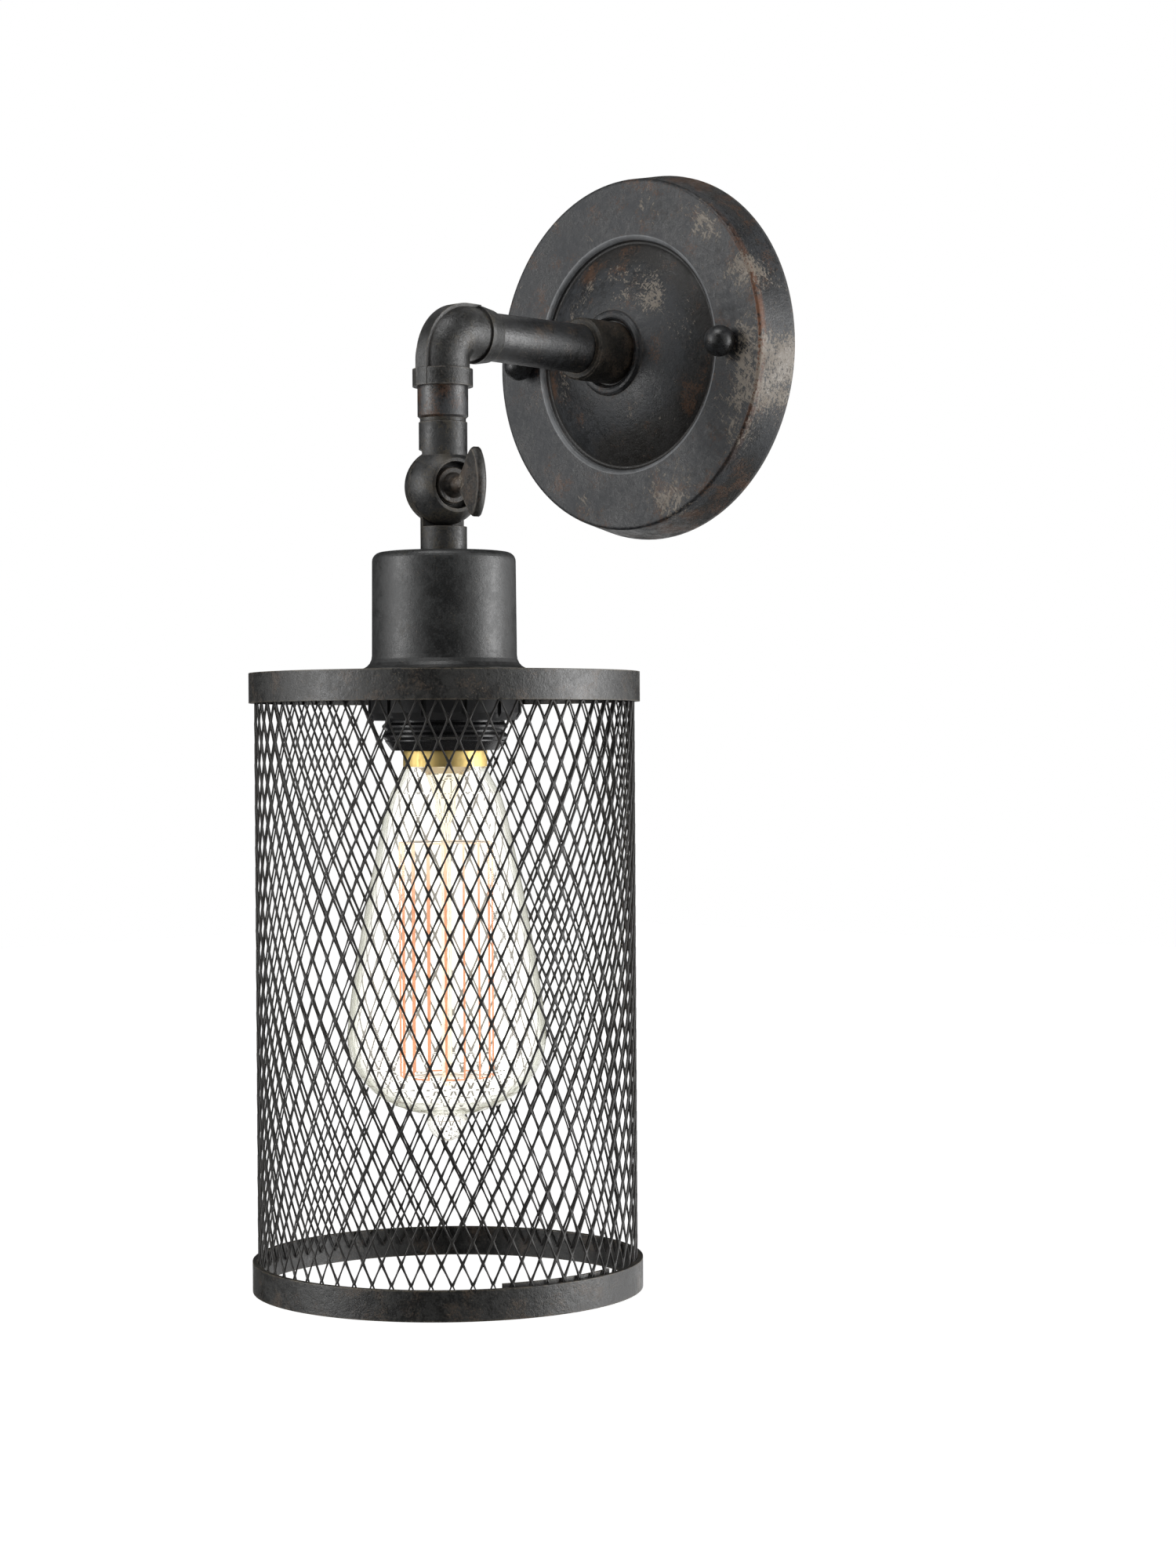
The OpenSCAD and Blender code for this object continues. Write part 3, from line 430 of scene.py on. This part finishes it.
# Soft steps of the aged metal: where a pattern starts to count and where it counts in full, then how much
# it covers before and after that, if this isn't none and all
TONE_STEP = (0.44, 0.56)
GLOSS_STEP = (0.42, 0.58)
# the patina and the painted shade
PATINA_AND_SHADE_STEP = (0.12, 0.75, 0.0, 0.88)
LINE_STEP = (0.36, 0.52)
FLECK_STEP = (0.68, 0.76, 0.0, 0.6)
FLECK_PATCHES = (0.40, 0.6)
EDGE_PATCHES = (0.38, 0.55)
# Painted shade in the canopy's valley
VALLEY_PATCHES = (0.3, 0.6, 0.55, 0.9)
# Painted highlight along the canopy's lip
LIP_PATCHES = (0.3, 0.6, 0.45, 0.85)
# Painted shade in creases
CREASE_SHADE_COVER = (0.0, 1.0, 0.92, 0.0)
CREASE_MATT = (0.0, 1.0, 0.3, 0.0)
SPECK_START, SPECK_FULL = 0.60, 0.68
SPECK_SPREAD = (0.12, 0.10)     # how far brown_share lowers them
SPECK_COVER = 0.8
RUB_START, RUB_FULL = 0.622, 0.672
RUB_SPREAD = 0.05               # how far rub_share lowers them
RUB_COVER = 0.85
LINE_COVER = 0.9

EDGE_REACH = 0.9        # width of the worn edges, in millimetres
EDGE_ROUNDING = 0.35    # in millimetres
LINE_SOFTNESS = 0.3     # in millimetres
GLOSS_SPREAD = (0.06, 0.08)     # how far the roughness falls and rises at an unevenness of 1
# The patina and the painted shade are both rougher by this
PATINA_AND_SHADE_MATT = 0.05      # how much rougher the patina is
RELIEF = 0.2            # height of the relief at a grain of 1, in millimetres
RELIEF_STRENGTH = 0.9
RUB_DEPTH = 0.2         # how far rubbed places lie below the rest, as a share of the relief


def patina_and_shade_share(look, patina_and_shade_places, stain, mottle):
    """How far patina and painted shade cover each point: ragged patches around the given places, within their
    rings.
    """
    shade = 0.0
    for ring, places in patina_and_shade_places:
        shade = look.plus(shade, look.times(look.with_places(0.0, places), look.ring_share(*ring)))
    ragged = look.math("SUBTRACT", look.weighted((stain, mottle), PATINA_WEIGHTS), PATINA_MEAN)
    return look.step(look.plus(shade, ragged), *PATINA_AND_SHADE_STEP)


def rubbed_field(look, rub_places, fine):
    """Crossed strokes that gather around the rubbed places."""
    strokes = [look.noise(*STROKE, look.stretched(STROKE_SCALE, turn)) for turn in STROKE_TURNS]
    patch = look.with_places(look.noise(*PATCH), rub_places)
    return look.weighted((patch, look.larger(*strokes), fine), RUB_WEIGHTS)


def aged_metal(name, dark, light, brown, rubbed, brown_share, rub_share, roughness, edge_wear, grain=1.0,
               specular=0.45, uneven=1.0, crease_reach=3.5, rub_places=(), brown_places=(), patina_and_shade_places=(),
               rust_line=None, valley=None, lip_highlight_ring=None):
    """Dark bronze: two mottled dark tones, patina, brown stains, painted shade in the creases, and rubbed,
    bare places.

    brown_share and rub_share widen the stains and rubbed places, edge_wear bares the edges, grain scales the
    relief, uneven spreads the gloss, and crease_reach is how far the painted shade of a crease reaches, in
    millimetres. The darker places hold patina and painted shade. valley and the lip ring are rings of the
    canopy with painted shade and a painted highlight, and rust_line is a place and the radii of a thin line
    near it.
    """
    look = Look(name)
    cloud = look.noise(*CLOUD)
    mottle = look.noise(*MOTTLE)
    fine = look.noise(*FINE)
    tone = look.weighted((cloud, mottle, fine), TONE_WEIGHTS)
    colour = look.blend(look.step(tone, *TONE_STEP), dark, light)

    # Patina and painted shade, and brown specks
    stain = look.with_places(look.noise(*STAIN), brown_places)
    shade = patina_and_shade_share(look, patina_and_shade_places, stain, mottle)
    colour = look.blend(shade, colour, PATINA_AND_SHADE)
    speck_field = look.weighted((stain, fine), SPECK_WEIGHTS)
    start_spread, full_spread = SPECK_SPREAD
    speck = look.step(speck_field, SPECK_START - start_spread * brown_share,
                      SPECK_FULL - full_spread * brown_share)
    colour = look.blend(look.times(speck, SPECK_COVER), colour, brown)
    if rust_line:
        along, inner, outer = rust_line
        line = look.times(look.near(*along), look.ring_share(inner, outer, LINE_SOFTNESS))
        line = look.times(line, look.step(mottle, *LINE_STEP))
        colour = look.blend(look.times(line, LINE_COVER), colour, RUST_LINE)

    # Rubbed places, flecks and worn edges
    rub = look.step(rubbed_field(look, rub_places, fine), RUB_START - RUB_SPREAD * rub_share,
                    RUB_FULL - RUB_SPREAD * rub_share, 0.0, RUB_COVER)
    fleck = look.step(look.noise(*FLECK), *FLECK_STEP)
    rub = look.larger(rub, look.times(fleck, look.step(stain, *FLECK_PATCHES)))
    worn_edge = look.times(look.edges(EDGE_REACH), look.step(mottle, *EDGE_PATCHES))
    rub = look.larger(rub, look.times(worn_edge, edge_wear))
    # Painted shade in the canopy's valley, in ragged patches, with no rubbed places there
    if valley:
        valley_shade = look.times(look.ring_share(*valley), look.step(stain, *VALLEY_PATCHES))
        rub = look.times(rub, look.rest(valley_shade))
        colour = look.blend(valley_shade, colour, PATINA_AND_SHADE)
        shade = look.larger(shade, valley_shade)
    # Painted highlight: a pale, bluish line in patches along the canopy's lip
    if lip_highlight_ring:
        lip_highlight = look.times(look.ring_share(*lip_highlight_ring), look.step(cloud, *LIP_PATCHES))
        colour = look.blend(lip_highlight, colour, LIP_HIGHLIGHT)
    open_share = look.creases(crease_reach)
    colour = look.blend(look.times(rub, open_share), colour, rubbed)
    # Painted shade: a darker colour deep in the creases
    colour = look.blend(look.step(open_share, *CREASE_SHADE_COVER), colour, PAINTED_CREASE_SHADE)

    # Gloss and relief
    fall, rise = GLOSS_SPREAD
    gloss = look.step(tone, *GLOSS_STEP, roughness - fall * uneven, roughness + rise * uneven)
    matt = look.plus(look.times(shade, PATINA_AND_SHADE_MATT), look.step(open_share, *CREASE_MATT))
    relief = look.weighted((mottle, fine), RELIEF_WEIGHTS)
    relief = look.math("SUBTRACT", relief, look.times(rub, RUB_DEPTH))
    normal = look.bump(relief, RELIEF * grain, RELIEF_STRENGTH, look.soft_normal(EDGE_ROUNDING))
    return look.set(Base_Color=colour, Roughness=look.plus(gloss, matt), Specular_IOR_Level=specular,
                    Normal=normal)


def round_places(places, radius, out):
    """Places on a circle around the canopy's axis: angle from +X, reach in millimetres, and strength."""
    return [((radius * math.cos(math.radians(a)), -out, radius * math.sin(math.radians(a))), reach, strength)
            for a, reach, strength in places]


CANOPY_RUBS = [  # centre and reach in millimetres, and strength
    ((59, -6, -6), 21, 0.50), ((58, -6, 17), 15, 0.24), ((56, -6, -22), 16, 0.32), ((30, -14, 43), 14, 0.30),
    ((53, -14, 20), 14, 0.26), ((21, -14, -46), 17, 0.42), ((9, -19, 22), 15, 0.33), ((17, -19, 15), 9, 0.36),
    ((44, -14, -19), 13, 0.26), ((-19, -14, -47), 9, 0.28), ((10, -14, 48), 9, 0.28),
    ((-49, -14, -26), 9, 0.26), ((-52, -14, 12), 9, 0.20), ((9, -17, -20), 8, 0.26), ((51, -14, 3), 10, 0.24),
    ((54, -14, -12), 12, 0.22), ((-12, -18, 22), 8, 0.26), ((-2, -18, 27), 9, 0.3),
    ((-24, -17, -8), 10, 0.26), ((49, -14, 27), 13, 0.30), ((45, -14, -30), 12, 0.28),
    ((-18, -18, 12), 9, 0.22), ((26, -17, 8), 8, 0.16), ((38, -14, 36), 9, 0.24),
]
CANOPY_BROWNS = [
    ((24, -5, 54), 20, 0.18), ((52, -12, 24), 12, 0.14), ((18, -5, -56), 22, 0.20), ((40, -6, -44), 14, 0.14),
    ((26, -11, -20), 14, 0.12), ((-31, -13, -6), 11, 0.24), ((0, -15, 31), 12, 0.16),
    ((-16, -15, 27), 9, 0.16),
]
# Darker places of the canopy, as angle from +X, reach in millimetres and strength: painted shade around the
# top and the foot of the dome and at the top and bottom of the rim, and patina and painted shade in patches
# over the flat ring
DOME_TOP = [(106, 14, 0.9), (84, 14, 1.0), (62, 13, 0.95), (40, 13, 0.85), (20, 11, 0.6)]
DOME_FOOT = [(8, 11, 0.5), (-14, 13, 0.6), (-36, 15, 0.8), (-60, 17, 1.0), (-84, 17, 1.1), (-106, 14, 0.8)]
FLAT_RING = [(68, 13, 0.34), (38, 13, 0.38), (12, 12, 0.34), (-32, 13, 0.36), (-56, 11, 0.28),
             (100, 10, 0.22), (-86, 10, 0.2)]
RIM = [(92, 18, 1.0), (76, 18, 1.0), (60, 17, 0.9), (44, 14, 0.5), (-42, 14, 0.5), (-56, 18, 0.9),
       (-74, 19, 1.1), (-92, 17, 1.0)]
CANOPY_SHADE_AND_PATINA = [  # ring as inner and outer radius and softness in millimetres, and the places in it
    ((0, 35.5, 1.5), round_places(DOME_TOP, 35, 12)),
    ((0, 37.2, 0.5), round_places(DOME_FOOT, 33, 12)),
    ((39.8, 56.0, 1.2), round_places(FLAT_RING, 48, 13)),
    ((58.6, 64, 0.6), round_places(RIM, 60, 5)),
]
WHOLE_PIECE = (0, 200, 1)   # ring that is wider than the object
# Painted shade: the ball darker towards its bottom
BALL_PAINTED_SHADE = [(WHOLE_PIECE, [((0, -98, -62), 12, 1.0), ((9, -98, -57), 8, 0.6)])]

AGED_METALS = {
    "canopy": dict(
        dark=(0.0095, 0.0103, 0.0114), light=(0.0255, 0.0277, 0.031), brown=RUST, rubbed=BARE,
        brown_share=0.45, rub_share=0.55, roughness=0.40, edge_wear=0.6, specular=0.41, uneven=1.9,
        crease_reach=1.2, rub_places=CANOPY_RUBS, brown_places=CANOPY_BROWNS, patina_and_shade_places=CANOPY_SHADE_AND_PATINA,
        rust_line=(((57, -13, 4), 55), 56.7, 57.7), valley=(36.0, 37.2, 0.7), lip_highlight_ring=(37.9, 39.0, 0.35)),
    "cap_nut": dict(
        dark=SOOT, light=CHARCOAL, brown=BRONZE, rubbed=BARE,
        brown_share=0.3, rub_share=0.1, roughness=0.32, edge_wear=0.3, grain=0.6),
    "coupling": dict(
        dark=(0.010, 0.009, 0.0075), light=(0.030, 0.026, 0.020), brown=BRONZE, rubbed=BARE,
        brown_share=0.8, rub_share=0.35, roughness=0.48, edge_wear=0.9, grain=1.5, specular=0.35),
    "arm": dict(
        dark=(0.007, 0.0072, 0.0072), light=(0.018, 0.019, 0.0205), brown=BRONZE, rubbed=BARE,
        brown_share=0.5, rub_share=0.15, roughness=0.37, edge_wear=0.5, grain=0.8, specular=0.6, uneven=1.3,
        rub_places=[((2, -36, 6), 2.2, 0.45)]),
    "casting": dict(
        dark=(0.0105, 0.0105, 0.010), light=(0.028, 0.0285, 0.0275), brown=OLIVE, rubbed=BARE,
        brown_share=0.6, rub_share=0.15, roughness=0.37, edge_wear=0.6, grain=1.3, specular=0.55, uneven=1.6),
    "drop": dict(
        dark=SOOT, light=CHARCOAL, brown=RUST, rubbed=BARE,
        brown_share=0.7, rub_share=0.25, roughness=0.37, edge_wear=0.5, grain=0.8, specular=0.6, uneven=1.7,
        brown_places=[((4, -103, -17), 6, 0.25), ((-4, -106, -20), 4, 0.2)]),
    "swivel": dict(
        dark=SOOT, light=(0.025, 0.0255, 0.0255), brown=OLIVE, rubbed=BARE,
        brown_share=0.75, rub_share=0.1, roughness=0.38, edge_wear=0.5, grain=0.8, specular=0.42, uneven=1.8,
        brown_places=[((-4, -106, -52), 7, 0.22), ((6, -104, -39), 5, 0.2)], patina_and_shade_places=BALL_PAINTED_SHADE),
    "thumb": dict(
        dark=(0.010, 0.0093, 0.0085), light=(0.034, 0.031, 0.027), brown=BRONZE, rubbed=BARE,
        brown_share=0.7, rub_share=0.45, roughness=0.40, edge_wear=1.0, grain=1.2, specular=0.5, uneven=2.0,
        rub_places=[((13, -104, -48), 5, 0.3)], brown_places=[((12, -104, -47), 5, 0.35)]),
    "cup": dict(
        dark=(0.015, 0.0155, 0.0155), light=(0.030, 0.031, 0.031), brown=OLIVE, rubbed=GOLD,
        brown_share=0.1, rub_share=0.0, roughness=0.39, edge_wear=0.2, grain=0.6, specular=0.5),
    "cage_disc": dict(
        dark=SOOT, light=CHARCOAL, brown=OLIVE, rubbed=BARE,
        brown_share=0.5, rub_share=0.1, roughness=0.5, edge_wear=0.3),
    "band": dict(
        dark=(0.0095, 0.0095, 0.009), light=(0.023, 0.0228, 0.0212), brown=BRONZE, rubbed=GOLD,
        brown_share=0.65, rub_share=0.25, roughness=0.38, edge_wear=0.6, specular=0.6, uneven=1.4),
}


def shaded(colour, share):
    """A colour made darker or lighter by a share of 1."""
    return tuple(c * share for c in colour)


# Patterns of the other materials: cycles per metre, detail and roughness
PAINT_CLOUD = (300, 4, 0.6)
PAINT_FINE = (2600, 4, 0.6)
STREAK = (1, 4, 0.6)
STREAK_SCALE = (900, 900, 120)  # cycles per metre across and along the streaks
METAL_STAIN = (210, 5, 0.6)
GLASS_STREAK = (38, 3, 0.5)
HEAT = (700, 3, 0.5)

WIDE_STEP = (0.3, 0.7)
STAIN_STEP = (0.45, 0.7)
OUTLINE_STEP = (0.46, 0.94)     # from facing the eye to lying along its view
PAINT_SPECULAR = 0.3
PAINT_TONES = (0.7, 1.4)        # shares of the paint's colour where it is darkest and lightest
PAINT_SPREAD = 0.08             # how far its roughness falls and rises
PAINT_RELIEF = 0.6              # strength of its relief
STREAK_SPREAD = (0.06, 0.1)     # how far the roughness falls and rises along the streaks
STREAK_DEPTH = 0.03             # in millimetres
STREAK_RELIEF = 0.4             # strength of their relief
STAIN_COVER = 0.5
STAIN_TONE = 0.62               # share of the metal's colour in its stains
GLASS_CLEARNESS = (0.98, 1.0)   # from the streaks to the glass between them
WIRE_ROUGHNESS = 0.5
HEAT_TONE = 0.9                 # share of the wire's light where it is coolest
# Colour of the painted glow on the glass
LAMP_GLOW = (1.0, 0.92, 0.80)


def black_paint(name, colour, roughness, grain):
    """Black paint or moulding with a slightly cloudy tone and a fine relief, grain millimetres high."""
    look = Look(name)
    fine = look.noise(*PAINT_FINE)
    tones = [shaded(colour, share) for share in PAINT_TONES]
    tone = look.blend(look.noise(*PAINT_CLOUD), *tones)
    gloss = look.step(fine, *WIDE_STEP, roughness - PAINT_SPREAD, roughness + PAINT_SPREAD)
    return look.set(Base_Color=tone, Roughness=gloss, Specular_IOR_Level=PAINT_SPECULAR,
                    Normal=look.bump(fine, grain, PAINT_RELIEF))


def plated(name, colour, roughness):
    """Drawn or plated metal with faint streaks along its length and small stains."""
    look = Look(name, metallic=1.0)
    streak = look.noise(*STREAK, look.stretched(STREAK_SCALE))
    stain = look.step(look.noise(*METAL_STAIN), *STAIN_STEP)
    tone = look.blend(look.times(stain, STAIN_COVER), colour, shaded(colour, STAIN_TONE))
    fall, rise = STREAK_SPREAD
    gloss = look.step(streak, *WIDE_STEP, roughness - fall, roughness + rise)
    return look.set(Base_Color=tone, Roughness=gloss, Normal=look.bump(streak, STREAK_DEPTH, STREAK_RELIEF))


def clear_glass(name, ior, middle, rim, painted_glow):
    """Clear glass that darkens a little towards its outline, with a faint painted glow of the lamp on it."""
    look = Look(name, ior=ior, transmission_weight=1.0, roughness=0.0, emission_strength=painted_glow)
    facing = look.add("ShaderNodeLayerWeight").outputs["Facing"]
    streak = look.step(look.noise(*GLASS_STREAK), *WIDE_STEP, *GLASS_CLEARNESS)
    depth = look.times(look.step(facing, *OUTLINE_STEP), streak)
    return look.set(Base_Color=look.blend(depth, middle, rim), Emission_Color=LAMP_GLOW)


def glowing(name, colour, light, pale, top, reach, strength):
    """A heated wire whose light grows pale towards its upper end, over reach millimetres."""
    look = Look(name, roughness=WIRE_ROUGHNESS, emission_strength=strength)
    tone = look.blend(look.noise(*HEAT), shaded(light, HEAT_TONE), light)
    axes = look.add("ShaderNodeSeparateXYZ")
    look.put(axes.inputs[0], look.place)
    tone = look.blend(look.step(axes.outputs["Z"], (top - reach) * MM, top * MM), tone, pale)
    return look.set(Base_Color=colour, Emission_Color=tone)


BLACK_PAINTS = {  # colour, roughness, and height of the relief in millimetres
    "mesh": ((0.026, 0.0245, 0.023), 0.42, 0.05),
    "ring": ((0.020, 0.020, 0.021), 0.5, 0.08),
    "holder": ((0.014, 0.014, 0.0148), 0.22, 0.04),
    "insulator": ((0.010, 0.008, 0.012), 0.15, 0.02),
}
PLATED_METALS = {  # colour and roughness
    "brass": ((0.90, 0.68, 0.27), 0.52),
    "steel": ((0.15, 0.15, 0.153), 0.58),
    "earth_screw": ((0.10, 0.34, 0.15), 0.35),
    "support_wire": ((0.78, 0.70, 0.62), 0.4),
}
GLASSES = {  # refraction, colour in the middle and at the outline, and strength of the glow on it
    "envelope": (1.22, (0.99, 0.995, 0.985), (0.36, 0.39, 0.28), 0.075),
    "inner_glass": (1.10, (1.0, 0.945, 0.75), (0.90, 0.79, 0.53), 0.02),
}

looks = {name: aged_metal(name, **values) for name, values in AGED_METALS.items()}
for make, table in ((black_paint, BLACK_PAINTS), (plated, PLATED_METALS), (clear_glass, GLASSES)):
    for name, values in table.items():
        looks[name] = make(name, *values)
looks["filament"] = glowing("filament", colour=(0.42, 0.18, 0.08), light=(0.44, 0.11, 0.015),
                            pale=(0.78, 0.62, 0.44), top=FILAMENT_TOP, reach=22, strength=0.9)

slot_of = {p["node"]: p["material_slot"] for p in frame["record"]["subparts"]}
for name, piece in nodes.items():
    piece.data.materials.clear()
    piece.data.materials.append(looks[slot_of[name]])


# ---- Cage mesh: one rolled sheet of expanded metal with a lap, in millimetres ----

MESH_HALF_COLUMNS = 124
MESH_ROWS = 29
MESH_BOTTOM = -293.1
MESH_TOP = -106.6
SELVEDGE = 1.2          # plain edge above and below the cells
SHEET_R = 58.35         # middle of the sheet
LAP_AT = 26             # half column where the sheet's outer end lies, counted from the front
LAP_COLUMNS = 10        # width of the lap, in half columns
FRONT = -90             # direction of the front from +X, in degrees
LAP_EASE = 2.2          # how many laps before its end the sheet starts to sink
LAP_SINK = 0.85         # how far the inner end lies below the outer one
LAP_SHIFT = 0.3         # how far its cells lie beside the outer ones, in half columns
STRAND_TILT = 0.2       # how far a strand's upper edge leans in, and its lower edge out
SAME_DIGITS = 3         # decimals to which two corners have to agree to be one
CELL_POINTS = 12
CELL = (1.0, 1.0, 1.0)      # width and height as a share of the cell, and how round its corners are
HOLE = (0.835, 0.865, 1.10)
STRAND_LAYERS = [  # share of the way to the strand's middle, and height above the sheet's middle
    (0.0, -0.11), (0.4, -0.24), (1.0, -0.28), (1.0, 0.28), (0.4, 0.24), (0.0, 0.11)]
OPEN_LAYERS = (0, 1, 3, 4, 5)   # layers with a face up to the next one; the strand's middle has none
WAVE = (0.9, 0.9, 3.1, 0.035)   # of the sheet: cycles per half column and row, start, and height
DRIFT = (0.35, 0.5, 9.7, 0.05)  # of the cells: the same, with how far they shift in half columns


def cell_ring(scale_x, scale_y, power):
    """Points of a rounded diamond around its centre, counted from its right corner."""
    ring = []
    for i in range(CELL_POINTS):
        a = 2 * math.pi * i / CELL_POINTS
        c, s = math.cos(a), math.sin(a)
        r = (abs(c) ** power + abs(s) ** power) ** (-1 / power)
        ring.append((scale_x * r * c, scale_y * r * s))
    return ring


def unevenness(u, v, around_scale, up_scale, start, height):
    """A smooth uneven pattern over the sheet, at u half columns around and v rows up."""
    return height * noise.noise(Vector((u * around_scale, v * up_scale, start)))


def cage_mesh():
    row_h = (MESH_TOP - MESH_BOTTOM - 2 * SELVEDGE) / MESH_ROWS
    last = LAP_AT + MESH_HALF_COLUMNS + LAP_COLUMNS
    hole = cell_ring(*HOLE)
    cell = cell_ring(*CELL)
    made = bmesh.new()
    seen = {}

    def corner(u, v, lift):
        """A corner of the mesh, at u half columns around, v rows up and lift above the sheet's middle."""
        sink = LAP_SINK * min(max((u - last) / LAP_COLUMNS + LAP_EASE, 0.0), 1.0)
        r = (SHEET_R - sink + lift + unevenness(u, v, *WAVE)) * MM
        shift = unevenness(u, v, *DRIFT) + LAP_SHIFT * sink / LAP_SINK
        a = math.radians(FRONT + (u + shift) * 360 / MESH_HALF_COLUMNS)
        z = MESH_BOTTOM + SELVEDGE + v * row_h
        key = (round(u, SAME_DIGITS), round(v, SAME_DIGITS), lift)
        if key not in seen:
            seen[key] = made.verts.new((r * math.cos(a), r * math.sin(a) - AXIS_OUT * MM, z * MM))
        return seen[key]

    for u in range(LAP_AT, last + 1):
        for v in range(1, MESH_ROWS):
            if (u + v) % 2:
                continue
            rings = []
            for share, lift in STRAND_LAYERS:
                lean = STRAND_TILT * (1 - share)
                rings.append([corner(u + hx + (cx - hx) * share, v + hy + (cy - hy) * share, lift + lean * hy)
                              for (hx, hy), (cx, cy) in zip(hole, cell)])
            rings.append(rings[0])
            for k in OPEN_LAYERS:
                inner, outer = rings[k], rings[k + 1]
                for i in range(CELL_POINTS):
                    j = (i + 1) % CELL_POINTS
                    made.faces.new((inner[i], inner[j], outer[j], outer[i]))
    bmesh.ops.recalc_face_normals(made, faces=made.faces)
    mesh = bpy.data.meshes.new("cage_mesh")
    made.to_mesh(mesh)
    made.free()
    mesh.shade_smooth()
    mesh.materials.append(looks["mesh"])
    piece = new_object("cage_mesh", mesh)
    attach(piece, "shade")
    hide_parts("mesh_front", "mesh_back")


# ---- Thumb screw: turned shank and collar with a bevelled flat grip, in millimetres ----

SWIVEL_TURN = -16.5     # turn of the screw's axis from +X, in degrees
SHANK = [  # distance along the screw from the ball's centre, and radius
    (-9.0, 0.0), (-9.0, 2.1), (-8.6, 2.5), (5.86, 2.5), (5.86, 5.35), (6.1, 5.6), (6.7, 5.6), (7.0, 5.3),
    (7.02, 4.0), (7.3, 3.75), (8.6, 2.95), (9.4, 2.62), (12.2, 2.6), (13.2, 2.45), (14.6, 1.9), (15.4, 0.9),
    (15.5, 0.0)]
SHANK_SIDES = 40
GRIP_EDGE = [  # half of the grip's outline, along the screw and across it
    (25.5, 0.0), (25.42, 1.6), (25.18, 3.2), (24.75, 5.0), (24.2, 6.6), (23.5, 8.1), (22.75, 9.25),
    (22.1, 10.1), (21.3, 10.6), (20.4, 10.45), (18.9, 9.5), (17.3, 7.9), (15.6, 5.7), (14.1, 3.9),
    (13.0, 2.9), (12.5, 1.2)]
GRIP_T = 3.2            # thickness
GRIP_BEVEL = 0.75
GRIP_ROWS = [  # side of the grip, and distance in from its outline, for each row of its corners
    (-1, GRIP_BEVEL), (-1, 0.5 * GRIP_BEVEL), (-1, 0.0), (1, 0.0), (1, 0.5 * GRIP_BEVEL), (1, GRIP_BEVEL)]
SHARP_ANGLE = 40        # edges that turn by more degrees stay sharp


def add_shank(vertices, faces, turn):
    """The turned shank and collar, put in place by the matrix turn."""
    for x, r in SHANK:
        for k in range(SHANK_SIDES):
            a = 2 * math.pi * k / SHANK_SIDES
            vertices.append(turn @ (Vector((x, r * math.cos(a), r * math.sin(a))) * MM))
    for i in range(len(SHANK) - 1):
        a, b = i * SHANK_SIDES, (i + 1) * SHANK_SIDES
        for k in range(SHANK_SIDES):
            j = (k + 1) % SHANK_SIDES
            faces.append((a + k, b + k, b + j, a + j))


def add_grip(vertices, faces, turn):
    """The flat grip with its bevelled edges, put in place by the matrix turn."""
    outline = GRIP_EDGE + [(x, -z) for x, z in reversed(GRIP_EDGE[1:])]
    count = len(outline)
    first = len(vertices)
    for side, inset in GRIP_ROWS:
        out = GRIP_T / 2 - (GRIP_BEVEL - inset) ** 2 / GRIP_BEVEL
        for i in range(count):
            (ax, az), (bx, bz) = outline[i - 1], outline[(i + 1) % count]
            length = math.hypot(bx - ax, bz - az)
            nx, nz = (bz - az) / length, -(bx - ax) / length
            x, z = outline[i]
            vertices.append(turn @ (Vector((x - nx * inset, side * out, z - nz * inset)) * MM))
    for row in range(len(GRIP_ROWS) - 1):
        a = first + row * count
        for i in range(count):
            j = (i + 1) % count
            faces.append((a + i, a + j, a + count + j, a + count + i))
    top = first + (len(GRIP_ROWS) - 1) * count
    faces.append(tuple(first + i for i in range(count)))
    faces.append(tuple(top + i for i in reversed(range(count))))


def thumb_screw():
    turn = Matrix.Translation(on_axis(0, 0, PIVOT_Z)) @ Matrix.Rotation(math.radians(SWIVEL_TURN), 4, "Z")
    vertices, faces = [], []
    add_shank(vertices, faces, turn)
    add_grip(vertices, faces, turn)
    mesh = bpy.data.meshes.new("thumb_screw_grip")
    mesh.from_pydata([tuple(v) for v in vertices], [], faces)
    mesh.validate()
    mesh.shade_smooth()
    mesh.set_sharp_from_angle(angle=math.radians(SHARP_ANGLE))
    mesh.materials.append(looks["thumb"])
    piece = new_object("thumb_screw_grip", mesh)
    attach(piece, "clamp_screw")
    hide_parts("thumb_screw")


cage_mesh()
thumb_screw()
